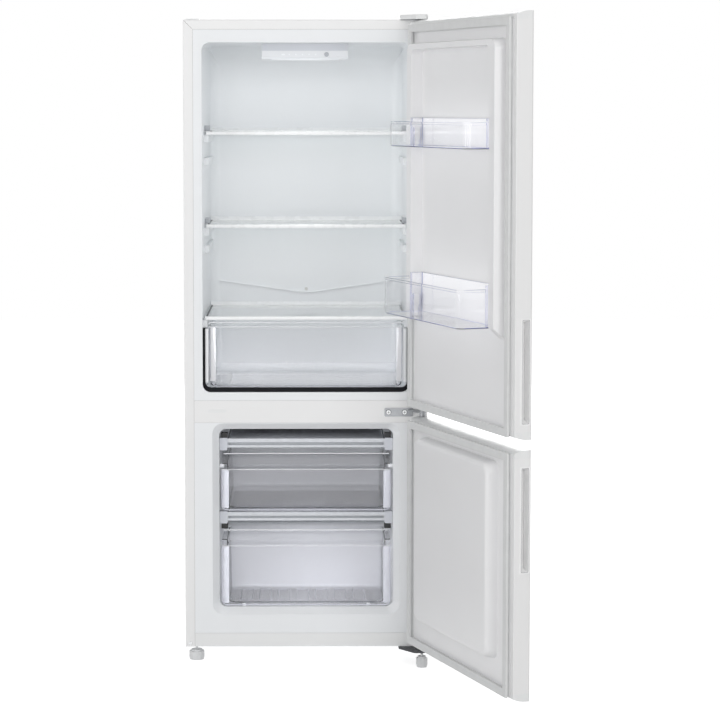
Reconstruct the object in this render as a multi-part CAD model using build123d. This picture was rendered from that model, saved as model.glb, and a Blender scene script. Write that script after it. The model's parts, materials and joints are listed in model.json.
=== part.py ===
from build123d import *
import os
from math import atan2, cos, degrees, radians, sin, tan

# Bottom-freezer refrigerator, both doors standing open, as separate pieces.
# Frame: X to the viewer's right, Y into the cabinet, Z up. The origin is on the floor
# under the middle of the cabinet's front face. All sizes are in millimetres.

# ---------------------------------------------------------------- driving dimensions
# Cabinet body
CABINET_WIDTH = 595.0
CABINET_TOP = 1580.0
CABINET_DEPTH = 500.0
CABINET_BOTTOM = 41.0
CABINET_EDGE_R = 4.0
SHEET = 0.8
FLANGE_WIDTH = 23.0
SEAM = 0.4
MITRE_SLOT = 0.6
LINER = 1.6
FACE_PLATE = 1.2
SEAT_GAP = 0.3
CUT_PAST = 1.0

# Insulation left round the two compartments
FRIDGE_SIDE_WALL = 44.5
FRIDGE_ROOF_WALL = 54.4
FRIDGE_BACK_WALL = 108.0
FREEZER_SIDE_WALL = 83.5
FREEZER_BACK_WALL = 115.0
FREEZER_FLOOR_WALL = 97.0
FREEZER_STEP_WALL = 50.0

# Fridge compartment
FRIDGE_SIDE_DRAFT = 4.0
FRIDGE_MOUTH_R = 20.0
FRIDGE_REAR_R = 30.0
FRIDGE_CEILING_R = 55.0

# Freezer compartment
FREEZER_BOTTOM = 137.0
FREEZER_HEIGHT = 443.0
FREEZER_SIDE_DRAFT = 3.0
FREEZER_CORNER_R = 18.0
FREEZER_BEVEL = 15.8
FREEZER_BEVEL_DEPTH = 18.0
FREEZER_SLOPE_RUN = 75.0

# Front face: the strip between the compartments and the rail below
MULLION_HEIGHT = 54.0
MULLION_BELOW = 18.0
MULLION_ABOVE = 20.6
FRONT_RAIL_TOP = 74.5

# Machine compartment at the rear bottom
BAY_HEADROOM = 19.5
BAY_FRONT_ROOM = 30.0
BAY_CHAMFER_RUN = 54.0
BAY_CHAMFER_RISE = 70.0
BAY_CHEEK = 18.0
BASE_SHEET = 1.2

# Doors
DOOR_THICKNESS = 42.0
DOOR_GAP = 12.0
DOOR_EDGE_R = 6.0
DOOR_CAP = 18.0
CAP_CROWN = 7.0
DOOR_RETURN = 12.0
PIVOT_INSET = 14.0
PIVOT_FORWARD = 41.0
DOOR_OPEN_ANGLE = 110.3
DOOR_TOP_DROP = 1.0
DOOR_FOOT_RISE = 15.0
UPPER_DOOR_LAP = 12.0
LOWER_DOOR_LAP = 20.0
PIN_END_GAP = 1.5
GASKET_WIDTH = 18.0
GASKET_CLEARANCE = 0.3
GASKET_TOP_INSET = 13.0
GASKET_BOTTOM_INSET = 6.0
GASKET_LOW_INSET = 8.0
GASKET_MID_INSET = 7.0

# Upper door lining: two upright ribs joined over the top
RIB_HEIGHT = 30.0
RIB_SIDE_GAP = 1.5
RIB_TOP_GAP = 3.6
RIB_CREST = 26.0
RIB_DRAFT = 4.0
RIB_INNER_DRAFT = 1.2
RIB_BRIDGE = 16.0
RIB_TAIL = 30.0
RIB_RAMP = 26.0
# Lower door lining: one raised plug
PLUG_HEIGHT = 27.0
PLUG_PAST_SIDE = 0.0
PLUG_PAST_FLOOR = 4.0
PLUG_PAST_CEILING = 3.0
PLUG_DRAFT = 7.0
PLUG_ROUND = 7.0
PLUG_CORNER_R = 22.0

# Grip recess in the free edge of each door
GRIP_WIDTH = 17.0
GRIP_DEPTH = 26.0
GRIP_INSET = 17.3
GRIP_WALL = 1.5
GRIP_FLANGE = 1.6
GRIP_PROUD = 0.8
UPPER_GRIP_RISE = 36.0
UPPER_GRIP_LENGTH = 229.0
LOWER_GRIP_DROP = 40.0
LOWER_GRIP_LENGTH = 232.0

# Door bins
BIN_WALL = 2.4
BIN_CLEARANCE = 2.0
BIN_SEAT = 1.2
UPPER_BIN_DEPTH = 86.0
LOWER_BIN_DEPTH = 100.0
UPPER_BIN_HEIGHT = 58.0
LOWER_BIN_HEIGHT = 86.0
UPPER_BIN_DROP = 32.0
LOWER_BIN_RISE = 24.0
BIN_BACK_RISE = 9.0
BIN_BACK_R = 3.0
BIN_CORNER_R = 14.0
BIN_BOTTOM_R = 4.0
BIN_RIM = 4.5
BIN_RIM_PROUD = 0.8
BIN_RIM_HEIGHT = 5.0
BIN_CHEEK = 9.0
BIN_CHEEK_DEPTH = 30.0
LUG_LENGTH = 28.0
LUG_WIDTH = 15.0
LUG_REACH = 8.0
LUG_CLEARANCE = 0.8
LUG_FORWARD = 9.0
LUG_RISE = 44.0

# Shelves
SHELF_SIDE_GAP = 6.0
GLASS = 4.0
GLASS_DROP = 2.0
GLASS_LAP = 8.0
SHELF_FRONT = 100.0
SHELF_BACK_GAP = 25.0
SHELF_TRIM_HEIGHT = 9.0
SHELF_TRIM_DEPTH = 14.0
REAR_TRIM_HEIGHT = 12.0
REAR_TRIM_DEPTH = 9.0
REAR_TRIM_RISE = 4.0
CRISPER_BAY_HEIGHT = 184.9
MIDDLE_SHELF_RISE = 221.5
UPPER_SHELF_RISE = 230.0
COVER_FRONT = 15.0
COVER_BACK_GAP = 24.0
SUPPORT_REACH = 8.0
SUPPORT_HEIGHT = 18.0
SUPPORT_SET_BACK = 8.0
SUPPORT_BACK_GAP = 12.0
SUPPORT_EDGE_R = 2.5
SPARE_SUPPORT_DROPS = (66.0, 53.0)
RUNNER_X = 190.0
RUNNER_WIDTH = 8.0

# Crisper drawer and the dark trim round its mouth
CRISPER_SIDE_GAP = 15.0
CRISPER_FLOOR_GAP = 10.9
CRISPER_COVER_GAP = 3.5
CRISPER_FRONT = 15.0
CRISPER_BACK_GAP = 47.0
CRISPER_CORNER_R = 20.0
CRISPER_RAIL_HEIGHT = 13.0
CRISPER_RAIL_DEPTH = 11.0
CRISPER_RAIL_WALL = 3.5
DRAWER_WALL = 2.6
DRAWER_DRAFT = 3.0
BAY_TRIM_SIDE = 5.4
BAY_TRIM_BOTTOM = 10.0
BAY_TRIM_DEPTH = 12.0
BAY_TRIM_FORWARD = 9.0
BAY_TRIM_R = 14.0
BAY_TRIM_TOP_GAP = 1.5

# Freezer drawers
FREEZER_DRAWER_SIDE_GAP = 5.5
FREEZER_DRAWER_FRONT = 22.0
UPPER_DRAWER_BACK_GAP = 18.0
LOWER_DRAWER_PAST_FLOOR = 3.0
DRAWER_FLOOR_GAP = 3.0
DRAWER_GAPS = (4.0, 6.0, 12.0)
DRAWER_BODY_INSET = 12.0
DRAWER_SCOOP = 38.0
DRAWER_SCOOP_DEPTH = 13.0
DRAWER_SIDE_DROP = 26.0
DRAWER_LIFT = 3.0
DRAWER_FLANGE_SET_BACK = 24.0
LEDGE_LAP = 6.0
LEDGE_HEIGHT = 9.0
LEDGE_BACK_GAP = 40.0
FLOOR_RUNNER_X = 150.0

# Evaporator shelves in the freezer
EVAPORATOR_TUBE_D = 8.0
EVAPORATOR_SIDE_GAP = 18.0
EVAPORATOR_FRONT = 30.0
EVAPORATOR_BACK_GAP = 25.0
EVAPORATOR_RUNS = 8
EVAPORATOR_TOP_GAP = 26.0
UPPER_EVAPORATOR_HEIGHT = 33.0
LOWER_EVAPORATOR_HEIGHT = 32.0
UPPER_DRAWER_HEIGHT = 140.0
EVAPORATOR_BAR = 10.0
EVAPORATOR_BAR_DEPTH = 7.0
EVAPORATOR_REST = 5.0
EVAPORATOR_TIE = 3.0
CLIP_LENGTH = 24.0
CLIP_CHAMFER = 2.0

# Control panel under the ceiling
PANEL_X = (-109.0, 104.0)
PANEL_FRONT = 100.0
PANEL_DEPTH = 78.0
PANEL_HEIGHT = 38.6
PANEL_SLOPE = 7.0
PANEL_LIP = 4.0
LAMP_X = -56.0
LAMP_SIZE = (8.0, 3.4)
BUTTON_X = 51.0
BUTTON_RISE = 11.5
BUTTON_D = 11.0
BUTTON_GAP = 0.3
BUTTON_PROUD = 1.6
BUTTON_SUNK = 3.0
MARK_PITCH = 16.3
MARK_COUNT = 5
MARK_X = -41.0
MARK_SIZE = 3.0
WINDOW_THICKNESS = 2.0
LENS_PROUD = 1.5
LENS_SUNK = 6.0
LENS_MARGINS = (22.0, 22.0, 16.0)

# Hinges and screws
PIN_D = 8.0
BOTTOM_PIN_D = 10.0
PIN_CLEARANCE = 0.08
BUSH_D = 17.0
HINGE_PLATE = 3.0
MIDDLE_ARM_RISE = 9.5
MIDDLE_PLATE_LENGTH = 70.0
MIDDLE_PLATE_OFFSET = 21.5
MIDDLE_PLATE_BELOW = 14.5
MIDDLE_PLATE_ABOVE = 6.5
MIDDLE_PLATE = 2.5
MIDDLE_SCREW_ENDS = (10.0, 20.7)
SCREW_D = 11.0
SCREW_HEAD = 2.6
SCREW_SLOT = 0.9
TOP_SCREW_D = 9.0
CORNER_SCREW_D = 8.6
CORNER_SCREW = (11.5, 9.0)
UNDER_SCREW_D = 10.0
HINGE_LENGTH = 55.5
TOP_HINGE_BACK = 30.0
TOP_COVER_HEIGHT = 11.0
TOP_COVER_WALL = 2.0
BOTTOM_HINGE_BACK = 62.0
BOTTOM_HINGE_PLATE = 6.0

# Blank covers over the unused hinge holes, by their ends' distances from the cabinet's left side
TOP_PLUG_ENDS = (7.5, 39.5)
SIDE_PLUG_ENDS = (57.5, 101.5)
TOP_PLUG_HEIGHT = 2.4
SIDE_PLUG_HEIGHT = 8.0
SIDE_PLUG_RISE = 4.5
SIDE_PLUG_R = 3.6
SIDE_PLUG_PROUD = 1.6

# Feet and rollers
FOOT_STUD_D = 6.0
FOOT_STUD_ROOM = 4.0
LEFT_FOOT_PLACE = (25.5, 45.0)
LEFT_FOOT_D = 37.6
RIGHT_FOOT_D = 28.0
FOOT_PAD = 25.0
FOOT_SOLE = 5.5
FOOT_NUT_D = 12.0
FOOT_NUT_TOP = 7.0
ROLLER_D = 28.0
ROLLER_WIDTH = 16.0
ROLLER_SIDE = 72.5
ROLLER_BACK = 48.0
ROLLER_GAP = 0.6
FORK_CHEEK = 2.0
AXLE_D = 6.0

# Refrigeration parts
COMPRESSOR_X = 95.0
COMPRESSOR_D = 158.0
COMPRESSOR_HEIGHT = 150.0
COMPRESSOR_SEAM = 79.0
MOUNT_HEIGHT = 14.0
COMPRESSOR_PLATE = 3.2
STUB_LENGTH = 24.0
STUB_RISE = 60.0
STUB_FORWARD = 20.0
STUB_D = 7.0
PAN_HEIGHT = 24.0
PAN_HALF_WIDTH = 85.0
PAN_Y = (-36.0, 78.0)
PAN_WALL = 2.0
DRAIN_RISE = 37.5
DRAIN_SLOPE = 23.0
DRAIN_D = 12.0
DRAIN_BACK = 45.0
DRAIN_BEND_R = 18.0
DRAIN_BEND_RISES = (170.0, 80.0)
DRAIN_IN_BAY = 4.0
GUTTER_REACH = 6.0
GUTTER_LIP = 2.2
CONDENSER_SIDE = 67.5
CONDENSER_RISE = 80.0
CONDENSER_DROP = 100.0
CONDENSER_PITCH = 115.0
CONDENSER_TUBE_D = 5.0
CONDENSER_GAP = 14.0
CONDENSER_REACH = 24.0
CONDENSER_CLIP = (18.0, 14.0)
WIRE_D = 1.6
WIRE_COUNT = 15
WIRE_PAST = 14.0

# ---------------------------------------------------------------- places worked out
HALF_CABINET = CABINET_WIDTH / 2
FACE_HALF = HALF_CABINET - FLANGE_WIDTH - SEAM
FACE_TOP = CABINET_TOP - FLANGE_WIDTH - SEAM
PIVOT_X = HALF_CABINET - PIVOT_INSET
PIVOT_Y = -PIVOT_FORWARD
DOOR_INNER = -DOOR_GAP
DOOR_OUTER = -DOOR_GAP - DOOR_THICKNESS

BAY_DEPTH = COMPRESSOR_D + BAY_FRONT_ROOM
BAY_FLOOR = CABINET_BOTTOM + BASE_SHEET
COMPRESSOR_SEAT = BAY_FLOOR + MOUNT_HEIGHT
PAN_BOTTOM = COMPRESSOR_SEAT + COMPRESSOR_HEIGHT + SEAT_GAP
BAY_HEIGHT = PAN_BOTTOM + PAN_HEIGHT + BAY_HEADROOM
BAY_FRONT = CABINET_DEPTH - BAY_DEPTH
BAY_HALF = HALF_CABINET - SHEET - BAY_CHEEK

FREEZER_HALF_WIDTH = HALF_CABINET - FREEZER_SIDE_WALL
FREEZER_TOP = FREEZER_BOTTOM + FREEZER_HEIGHT
FREEZER_DEPTH = CABINET_DEPTH - FREEZER_BACK_WALL
FREEZER_FLOOR_DEPTH = BAY_FRONT - FREEZER_FLOOR_WALL
FREEZER_STEP_Z = BAY_HEIGHT + FREEZER_STEP_WALL
MULLION_BOTTOM = FREEZER_TOP + MULLION_BELOW
MULLION_TOP = MULLION_BOTTOM + MULLION_HEIGHT
FRIDGE_HALF_WIDTH = HALF_CABINET - FRIDGE_SIDE_WALL
FRIDGE_BOTTOM = MULLION_TOP + MULLION_ABOVE
FRIDGE_TOP = CABINET_TOP - FRIDGE_ROOF_WALL
FRIDGE_DEPTH = CABINET_DEPTH - FRIDGE_BACK_WALL

UPPER_DOOR_BOTTOM = MULLION_TOP - UPPER_DOOR_LAP
UPPER_DOOR_TOP = CABINET_TOP - DOOR_TOP_DROP
LOWER_DOOR_BOTTOM = CABINET_BOTTOM + DOOR_FOOT_RISE
LOWER_DOOR_TOP = MULLION_BOTTOM + LOWER_DOOR_LAP
UPPER_GRIP_LOW = UPPER_DOOR_BOTTOM + UPPER_GRIP_RISE
UPPER_GRIP = (UPPER_GRIP_LOW, UPPER_GRIP_LOW + UPPER_GRIP_LENGTH)
LOWER_GRIP_HIGH = LOWER_DOOR_TOP - LOWER_GRIP_DROP
LOWER_GRIP = (LOWER_GRIP_HIGH - LOWER_GRIP_LENGTH, LOWER_GRIP_HIGH)

COVER_TOP = FRIDGE_BOTTOM + CRISPER_BAY_HEIGHT
MIDDLE_SHELF_TOP = COVER_TOP + MIDDLE_SHELF_RISE
UPPER_SHELF_TOP = MIDDLE_SHELF_TOP + UPPER_SHELF_RISE
SPARE_SUPPORT_TOPS = (UPPER_SHELF_TOP - SPARE_SUPPORT_DROPS[0], MIDDLE_SHELF_TOP - SPARE_SUPPORT_DROPS[1])
SHELF_HALF_WIDTH = FRIDGE_HALF_WIDTH - SHELF_SIDE_GAP
SHELF_DEPTH = FRIDGE_DEPTH - SHELF_BACK_GAP - SHELF_FRONT
COVER_DEPTH = FRIDGE_DEPTH - COVER_BACK_GAP - COVER_FRONT
CRISPER_HALF_WIDTH = FRIDGE_HALF_WIDTH - CRISPER_SIDE_GAP
CRISPER_BOTTOM = FRIDGE_BOTTOM + CRISPER_FLOOR_GAP
CRISPER_TOP = COVER_TOP - SHELF_TRIM_HEIGHT - CRISPER_COVER_GAP
CRISPER_DEPTH = FRIDGE_DEPTH - CRISPER_BACK_GAP - CRISPER_FRONT
DRAIN_Z = COVER_TOP + DRAIN_RISE
DRAIN_SIDE_Z = DRAIN_Z + DRAIN_SLOPE

RIB_OUTER_HALF = FRIDGE_HALF_WIDTH - RIB_SIDE_GAP
RIB_GAP_HALF = RIB_OUTER_HALF - RIB_DRAFT - RIB_CREST
RIB_TOP = FRIDGE_TOP - RIB_TOP_GAP
RIB_TOP_CREST = RIB_TOP - RIB_BRIDGE
RIB_BOTTOM = COVER_TOP - 0.5
PLUG_HALF_WIDTH = FREEZER_HALF_WIDTH + PLUG_PAST_SIDE
PLUG_BOTTOM = FREEZER_BOTTOM - PLUG_PAST_FLOOR
PLUG_TOP = FREEZER_TOP + PLUG_PAST_CEILING
BIN_HALF_WIDTH = RIB_GAP_HALF - BIN_CLEARANCE
UPPER_BIN_LOW = UPPER_SHELF_TOP - UPPER_BIN_DROP
UPPER_BIN_Z = (UPPER_BIN_LOW, UPPER_BIN_LOW + UPPER_BIN_HEIGHT)
LOWER_BIN_LOW = RIB_BOTTOM + LOWER_BIN_RISE
LOWER_BIN_Z = (LOWER_BIN_LOW, LOWER_BIN_LOW + LOWER_BIN_HEIGHT)

UPPER_EVAPORATOR_TOP = FREEZER_TOP - EVAPORATOR_TOP_GAP
UPPER_EVAPORATOR_Z = (UPPER_EVAPORATOR_TOP - UPPER_EVAPORATOR_HEIGHT, UPPER_EVAPORATOR_TOP)
UPPER_DRAWER_TOP = UPPER_EVAPORATOR_Z[0] - DRAWER_GAPS[0]
UPPER_DRAWER_Z = (UPPER_DRAWER_TOP - UPPER_DRAWER_HEIGHT, UPPER_DRAWER_TOP)
LOWER_EVAPORATOR_TOP = UPPER_DRAWER_Z[0] - DRAWER_GAPS[1]
LOWER_EVAPORATOR_Z = (LOWER_EVAPORATOR_TOP - LOWER_EVAPORATOR_HEIGHT, LOWER_EVAPORATOR_TOP)
LOWER_DRAWER_Z = (FREEZER_BOTTOM + DRAWER_FLOOR_GAP, LOWER_EVAPORATOR_Z[0] - DRAWER_GAPS[2])
FREEZER_DRAWER_HALF_WIDTH = FREEZER_HALF_WIDTH - FREEZER_DRAWER_SIDE_GAP
UPPER_DRAWER_DEPTH = FREEZER_DEPTH - UPPER_DRAWER_BACK_GAP - FREEZER_DRAWER_FRONT
LOWER_DRAWER_DEPTH = FREEZER_FLOOR_DEPTH + LOWER_DRAWER_PAST_FLOOR - FREEZER_DRAWER_FRONT
EVAPORATOR_HALF_WIDTH = FREEZER_HALF_WIDTH - EVAPORATOR_SIDE_GAP
EVAPORATOR_DEPTH = FREEZER_DEPTH - EVAPORATOR_BACK_GAP - EVAPORATOR_FRONT

PANEL_BOTTOM = FRIDGE_TOP - PANEL_HEIGHT
BUTTON_Z = PANEL_BOTTOM + BUTTON_RISE
HINGE_X = PIVOT_X - HINGE_LENGTH
MIDDLE_ARM_Z = LOWER_DOOR_TOP + MIDDLE_ARM_RISE
MIDDLE_PLATE_END = PIVOT_X - MIDDLE_PLATE_OFFSET
MIDDLE_PLATE_X = (MIDDLE_PLATE_END - MIDDLE_PLATE_LENGTH, MIDDLE_PLATE_END)
MIDDLE_PLATE_Z = (MIDDLE_ARM_Z - MIDDLE_PLATE_BELOW, MIDDLE_ARM_Z + MIDDLE_PLATE_ABOVE)
MIDDLE_SCREWS = (MIDDLE_PLATE_X[0] + MIDDLE_SCREW_ENDS[0], MIDDLE_PLATE_X[1] - MIDDLE_SCREW_ENDS[1])
LEFT_FOOT = (LEFT_FOOT_PLACE[0] - HALF_CABINET, LEFT_FOOT_PLACE[1])
ROLLER_X = HALF_CABINET - ROLLER_SIDE
ROLLER_Y = CABINET_DEPTH - ROLLER_BACK
CONDENSER_HALF_WIDTH = HALF_CABINET - CONDENSER_SIDE
CONDENSER_Z = (BAY_HEIGHT + CONDENSER_RISE, CABINET_TOP - CONDENSER_DROP)
CONDENSER_Y = CABINET_DEPTH + CONDENSER_GAP

# The compressor can's half section: share of its radius, and height over its seat
CAN_PROFILE = (
    (0.0, 3.0),
    (0.80, 3.0),
    (0.97, 20.0),
    (0.97, COMPRESSOR_SEAM),
    (1.0, COMPRESSOR_SEAM),
    (1.0, COMPRESSOR_SEAM + 9.0),
    (0.97, COMPRESSOR_SEAM + 9.0),
    (0.94, COMPRESSOR_HEIGHT - 40.0),
    (0.72, COMPRESSOR_HEIGHT - 12.0),
    (0.34, COMPRESSOR_HEIGHT),
    (0.0, COMPRESSOR_HEIGHT),
)

FRONT = Plane(origin=(0, 0, 0), x_dir=(1, 0, 0), z_dir=(0, -1, 0))
ON_SEAT = (Align.CENTER, Align.CENTER, Align.MIN)
BEND_STEPS = 3
TUBE_SIDES = 12
HIDDEN_TUBE_SIDES = 8
WIRE_SIDES = 6


# ---------------------------------------------------------------- building helpers
def block(x, y, z):
    """A box between (low, high) pairs along X, Y and Z."""
    size = [high - low for low, high in (x, y, z)]
    corner = [low for low, _ in (x, y, z)]
    return Pos(*corner) * Box(*size, align=(Align.MIN, Align.MIN, Align.MIN))


def outline(points):
    """A closed flat outline through (a, b, radius) corners; radius 0 leaves a corner sharp."""
    face = Sketch() + Polygon(*[(a, b) for a, b, _ in points], align=None)
    for a, b, radius in points:
        if radius:
            corner = face.vertices().sort_by_distance((a, b, 0))[0]
            face = fillet(corner, radius)
    return face


def rectangle(a, b, radius=0.0):
    """A rectangle outline between (low, high) pairs, with one corner radius."""
    corners = ((a[0], b[0]), (a[1], b[0]), (a[1], b[1]), (a[0], b[1]))
    return outline([(*corner, radius) for corner in corners])


def along_y(face, y):
    """A front-view outline (X, Z) carried from y[0] to y[1]."""
    return extrude(FRONT.offset(-y[0]) * face, amount=-(y[1] - y[0]))


def along_x(face, x):
    """A side-view outline (Y, Z) carried from x[0] to x[1]."""
    return extrude(Plane.YZ.offset(x[0]) * face, amount=x[1] - x[0])


def along_z(face, z):
    """A plan outline (X, Y) carried from z[0] to z[1]."""
    return extrude(Plane.XY.offset(z[0]) * face, amount=z[1] - z[0])


def tapered_y(low, high, y):
    """A form between two front-view outlines, at y[0] and y[1]."""
    return loft([FRONT.offset(-y[0]) * low, FRONT.offset(-y[1]) * high])


def rod(start, end, diameter):
    """A straight round bar between two points."""
    way = Vector(*end) - Vector(*start)
    plane = Plane(origin=start, z_dir=way)
    return Solid.make_cylinder(diameter / 2, way.length, plane)


def mirrored(part):
    """The part and its mirror image across the cabinet's middle plane."""
    return [part, part.mirror(Plane.YZ)]


def bent_route(points, radius):
    """The points of a route with each corner rounded to radius in BEND_STEPS short straight steps."""
    corners = [Vector(*point) for point in points]
    route = [corners[0]]
    for before, corner, after in zip(corners, corners[1:], corners[2:]):
        way, onward = (corner - before).normalized(), (after - corner).normalized()
        turn = way.get_angle(onward)
        setback = radius * tan(radians(turn) / 2)
        across = way.cross(onward)
        centre = corner - way * setback + across.cross(way).normalized() * radius
        start = Vertex(corner - way * setback)
        for step in range(BEND_STEPS + 1):
            route.append(start.rotate(Axis(centre, across), turn * step / BEND_STEPS).center())
    return route + [corners[-1]]


def pipe(points, radius, diameter, sides=TUBE_SIDES):
    """A thin tube's outer form as a prism of many sides, mitred along a route with rounded corners."""
    path = Polyline(*bent_route(points, radius))
    start = Plane(origin=path @ 0, z_dir=path % 0)
    return sweep(start * RegularPolygon(diameter / 2, sides), path=path, transition=Transition.RIGHT)


def round_steps(radius, steps=3):
    """How far in and how far up each step of a rounded bottom edge lies, from the floor to the wall."""
    angles = [radians(90.0 * index / steps) for index in range(steps + 1)]
    return [(radius * (1 - sin(angle)), radius * (1 - cos(angle))) for angle in angles]


def save(name, *pieces):
    """Write one node from one or more separate solids."""
    solids = [s for piece in pieces for s in piece.solids()]
    whole = solids[0] if len(solids) == 1 else Compound(children=solids)
    export_step(whole, f"parts/{name}.step")


# ---------------------------------------------------------------- cabinet
def cabinet_block(inset):
    """The cabinet's outer form, moved in by inset at the front, top and sides."""
    half = HALF_CABINET - inset
    body = block((-half, half), (inset, CABINET_DEPTH), (CABINET_BOTTOM, CABINET_TOP - inset))
    radius = CABINET_EDGE_R - inset
    top = body.faces().sort_by(Axis.Z)[-1]
    top_sides = top.edges().filter_by(Axis.Y)
    body = fillet(top_sides, radius)
    front = body.faces().sort_by(Axis.Y)[0]
    rim = front.edges().filter_by(lambda e: e.center().Z > CABINET_BOTTOM + 1)
    return chamfer(rim, radius / 2) if inset else fillet(rim, radius / 2)


def fridge_cavity(grow=0.0):
    """The fridge compartment's open space, with its walls moved out by grow."""
    half, front = FRIDGE_HALF_WIDTH + grow, -CUT_PAST
    low, high = FRIDGE_BOTTOM - grow, FRIDGE_TOP + grow
    back = FRIDGE_DEPTH + grow
    mouth = along_y(rectangle((-half, half), (low, high), FRIDGE_MOUTH_R + grow), (front, back))
    rear_half = half - FRIDGE_SIDE_DRAFT
    rear_r = FRIDGE_REAR_R + grow
    plan = outline([
        (-half, front, 0),
        (half, front, 0),
        (rear_half, back, rear_r),
        (-rear_half, back, rear_r),
    ])
    ceiling_r = FRIDGE_CEILING_R + grow
    side = outline([(front, low, 0), (back, low, rear_r), (back, high, ceiling_r), (front, high, 0)])
    return mouth & along_z(plan, (low, high)) & along_x(side, (-half, half))


def freezer_cavity(grow=0.0):
    """The freezer compartment's open space, with its bevelled mouth and the step over the machinery."""
    half, front = FREEZER_HALF_WIDTH + grow, -CUT_PAST
    low, high = FREEZER_BOTTOM - grow, FREEZER_TOP + grow
    back = FREEZER_DEPTH + grow
    corner_r = FREEZER_CORNER_R + grow
    mouth = along_y(rectangle((-half, half), (low, high), corner_r), (front, back))
    rear_half = half - FREEZER_SIDE_DRAFT
    plan = outline([
        (-half, front, 0),
        (half, front, 0),
        (rear_half, back, corner_r),
        (-rear_half, back, corner_r),
    ])
    slope_end = FREEZER_FLOOR_DEPTH + FREEZER_SLOPE_RUN
    side = outline([
        (front, low, 0),
        (FREEZER_FLOOR_DEPTH + grow, low, corner_r),
        (slope_end + grow, FREEZER_STEP_Z - grow, corner_r),
        (back, FREEZER_STEP_Z - grow, corner_r / 2),
        (back, high, corner_r),
        (front, high, 0),
    ])
    space = mouth & along_z(plan, (low, high)) & along_x(side, (-half, half))
    flare = FREEZER_BEVEL * (1 - front / FREEZER_BEVEL_DEPTH)
    wide_x, wide_z = (-half - flare, half + flare), (low - flare, high + flare)
    wide = rectangle(wide_x, wide_z, corner_r + flare / 2)
    narrow = rectangle((-half, half), (low, high), corner_r)
    return space + tapered_y(wide, narrow, (front, FREEZER_BEVEL_DEPTH))


def bay_outline(grow=0.0):
    """The machine compartment's side view, open at the back and at the bottom."""
    top = BAY_HEIGHT + grow
    front = BAY_FRONT - grow
    back = CABINET_DEPTH + CUT_PAST
    bottom = CABINET_BOTTOM - CUT_PAST
    return outline([
        (front, bottom, 0),
        (back, bottom, 0),
        (back, top, 0),
        (front + BAY_CHAMFER_RUN, top, 0),
        (front, top - BAY_CHAMFER_RISE, 0),
    ])


def machine_bay(grow=0.0):
    """The machine compartment's open space, with its walls moved out by grow."""
    return along_x(bay_outline(grow), (-BAY_HALF - grow, BAY_HALF + grow))


def drain_path():
    """The drain tube's route from the gutter to the tray over the compressor."""
    behind = CABINET_DEPTH - DRAIN_BACK
    high_bend, low_bend = DRAIN_BEND_RISES
    return [
        (0, FRIDGE_DEPTH + LINER, DRAIN_Z),
        (0, behind, DRAIN_Z),
        (0, behind, BAY_HEIGHT + high_bend),
        (COMPRESSOR_X, behind, BAY_HEIGHT + low_bend),
        (COMPRESSOR_X, behind, BAY_HEIGHT - DRAIN_IN_BAY),
    ]


def drain_tube():
    return pipe(drain_path(), DRAIN_BEND_R, DRAIN_D)


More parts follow.
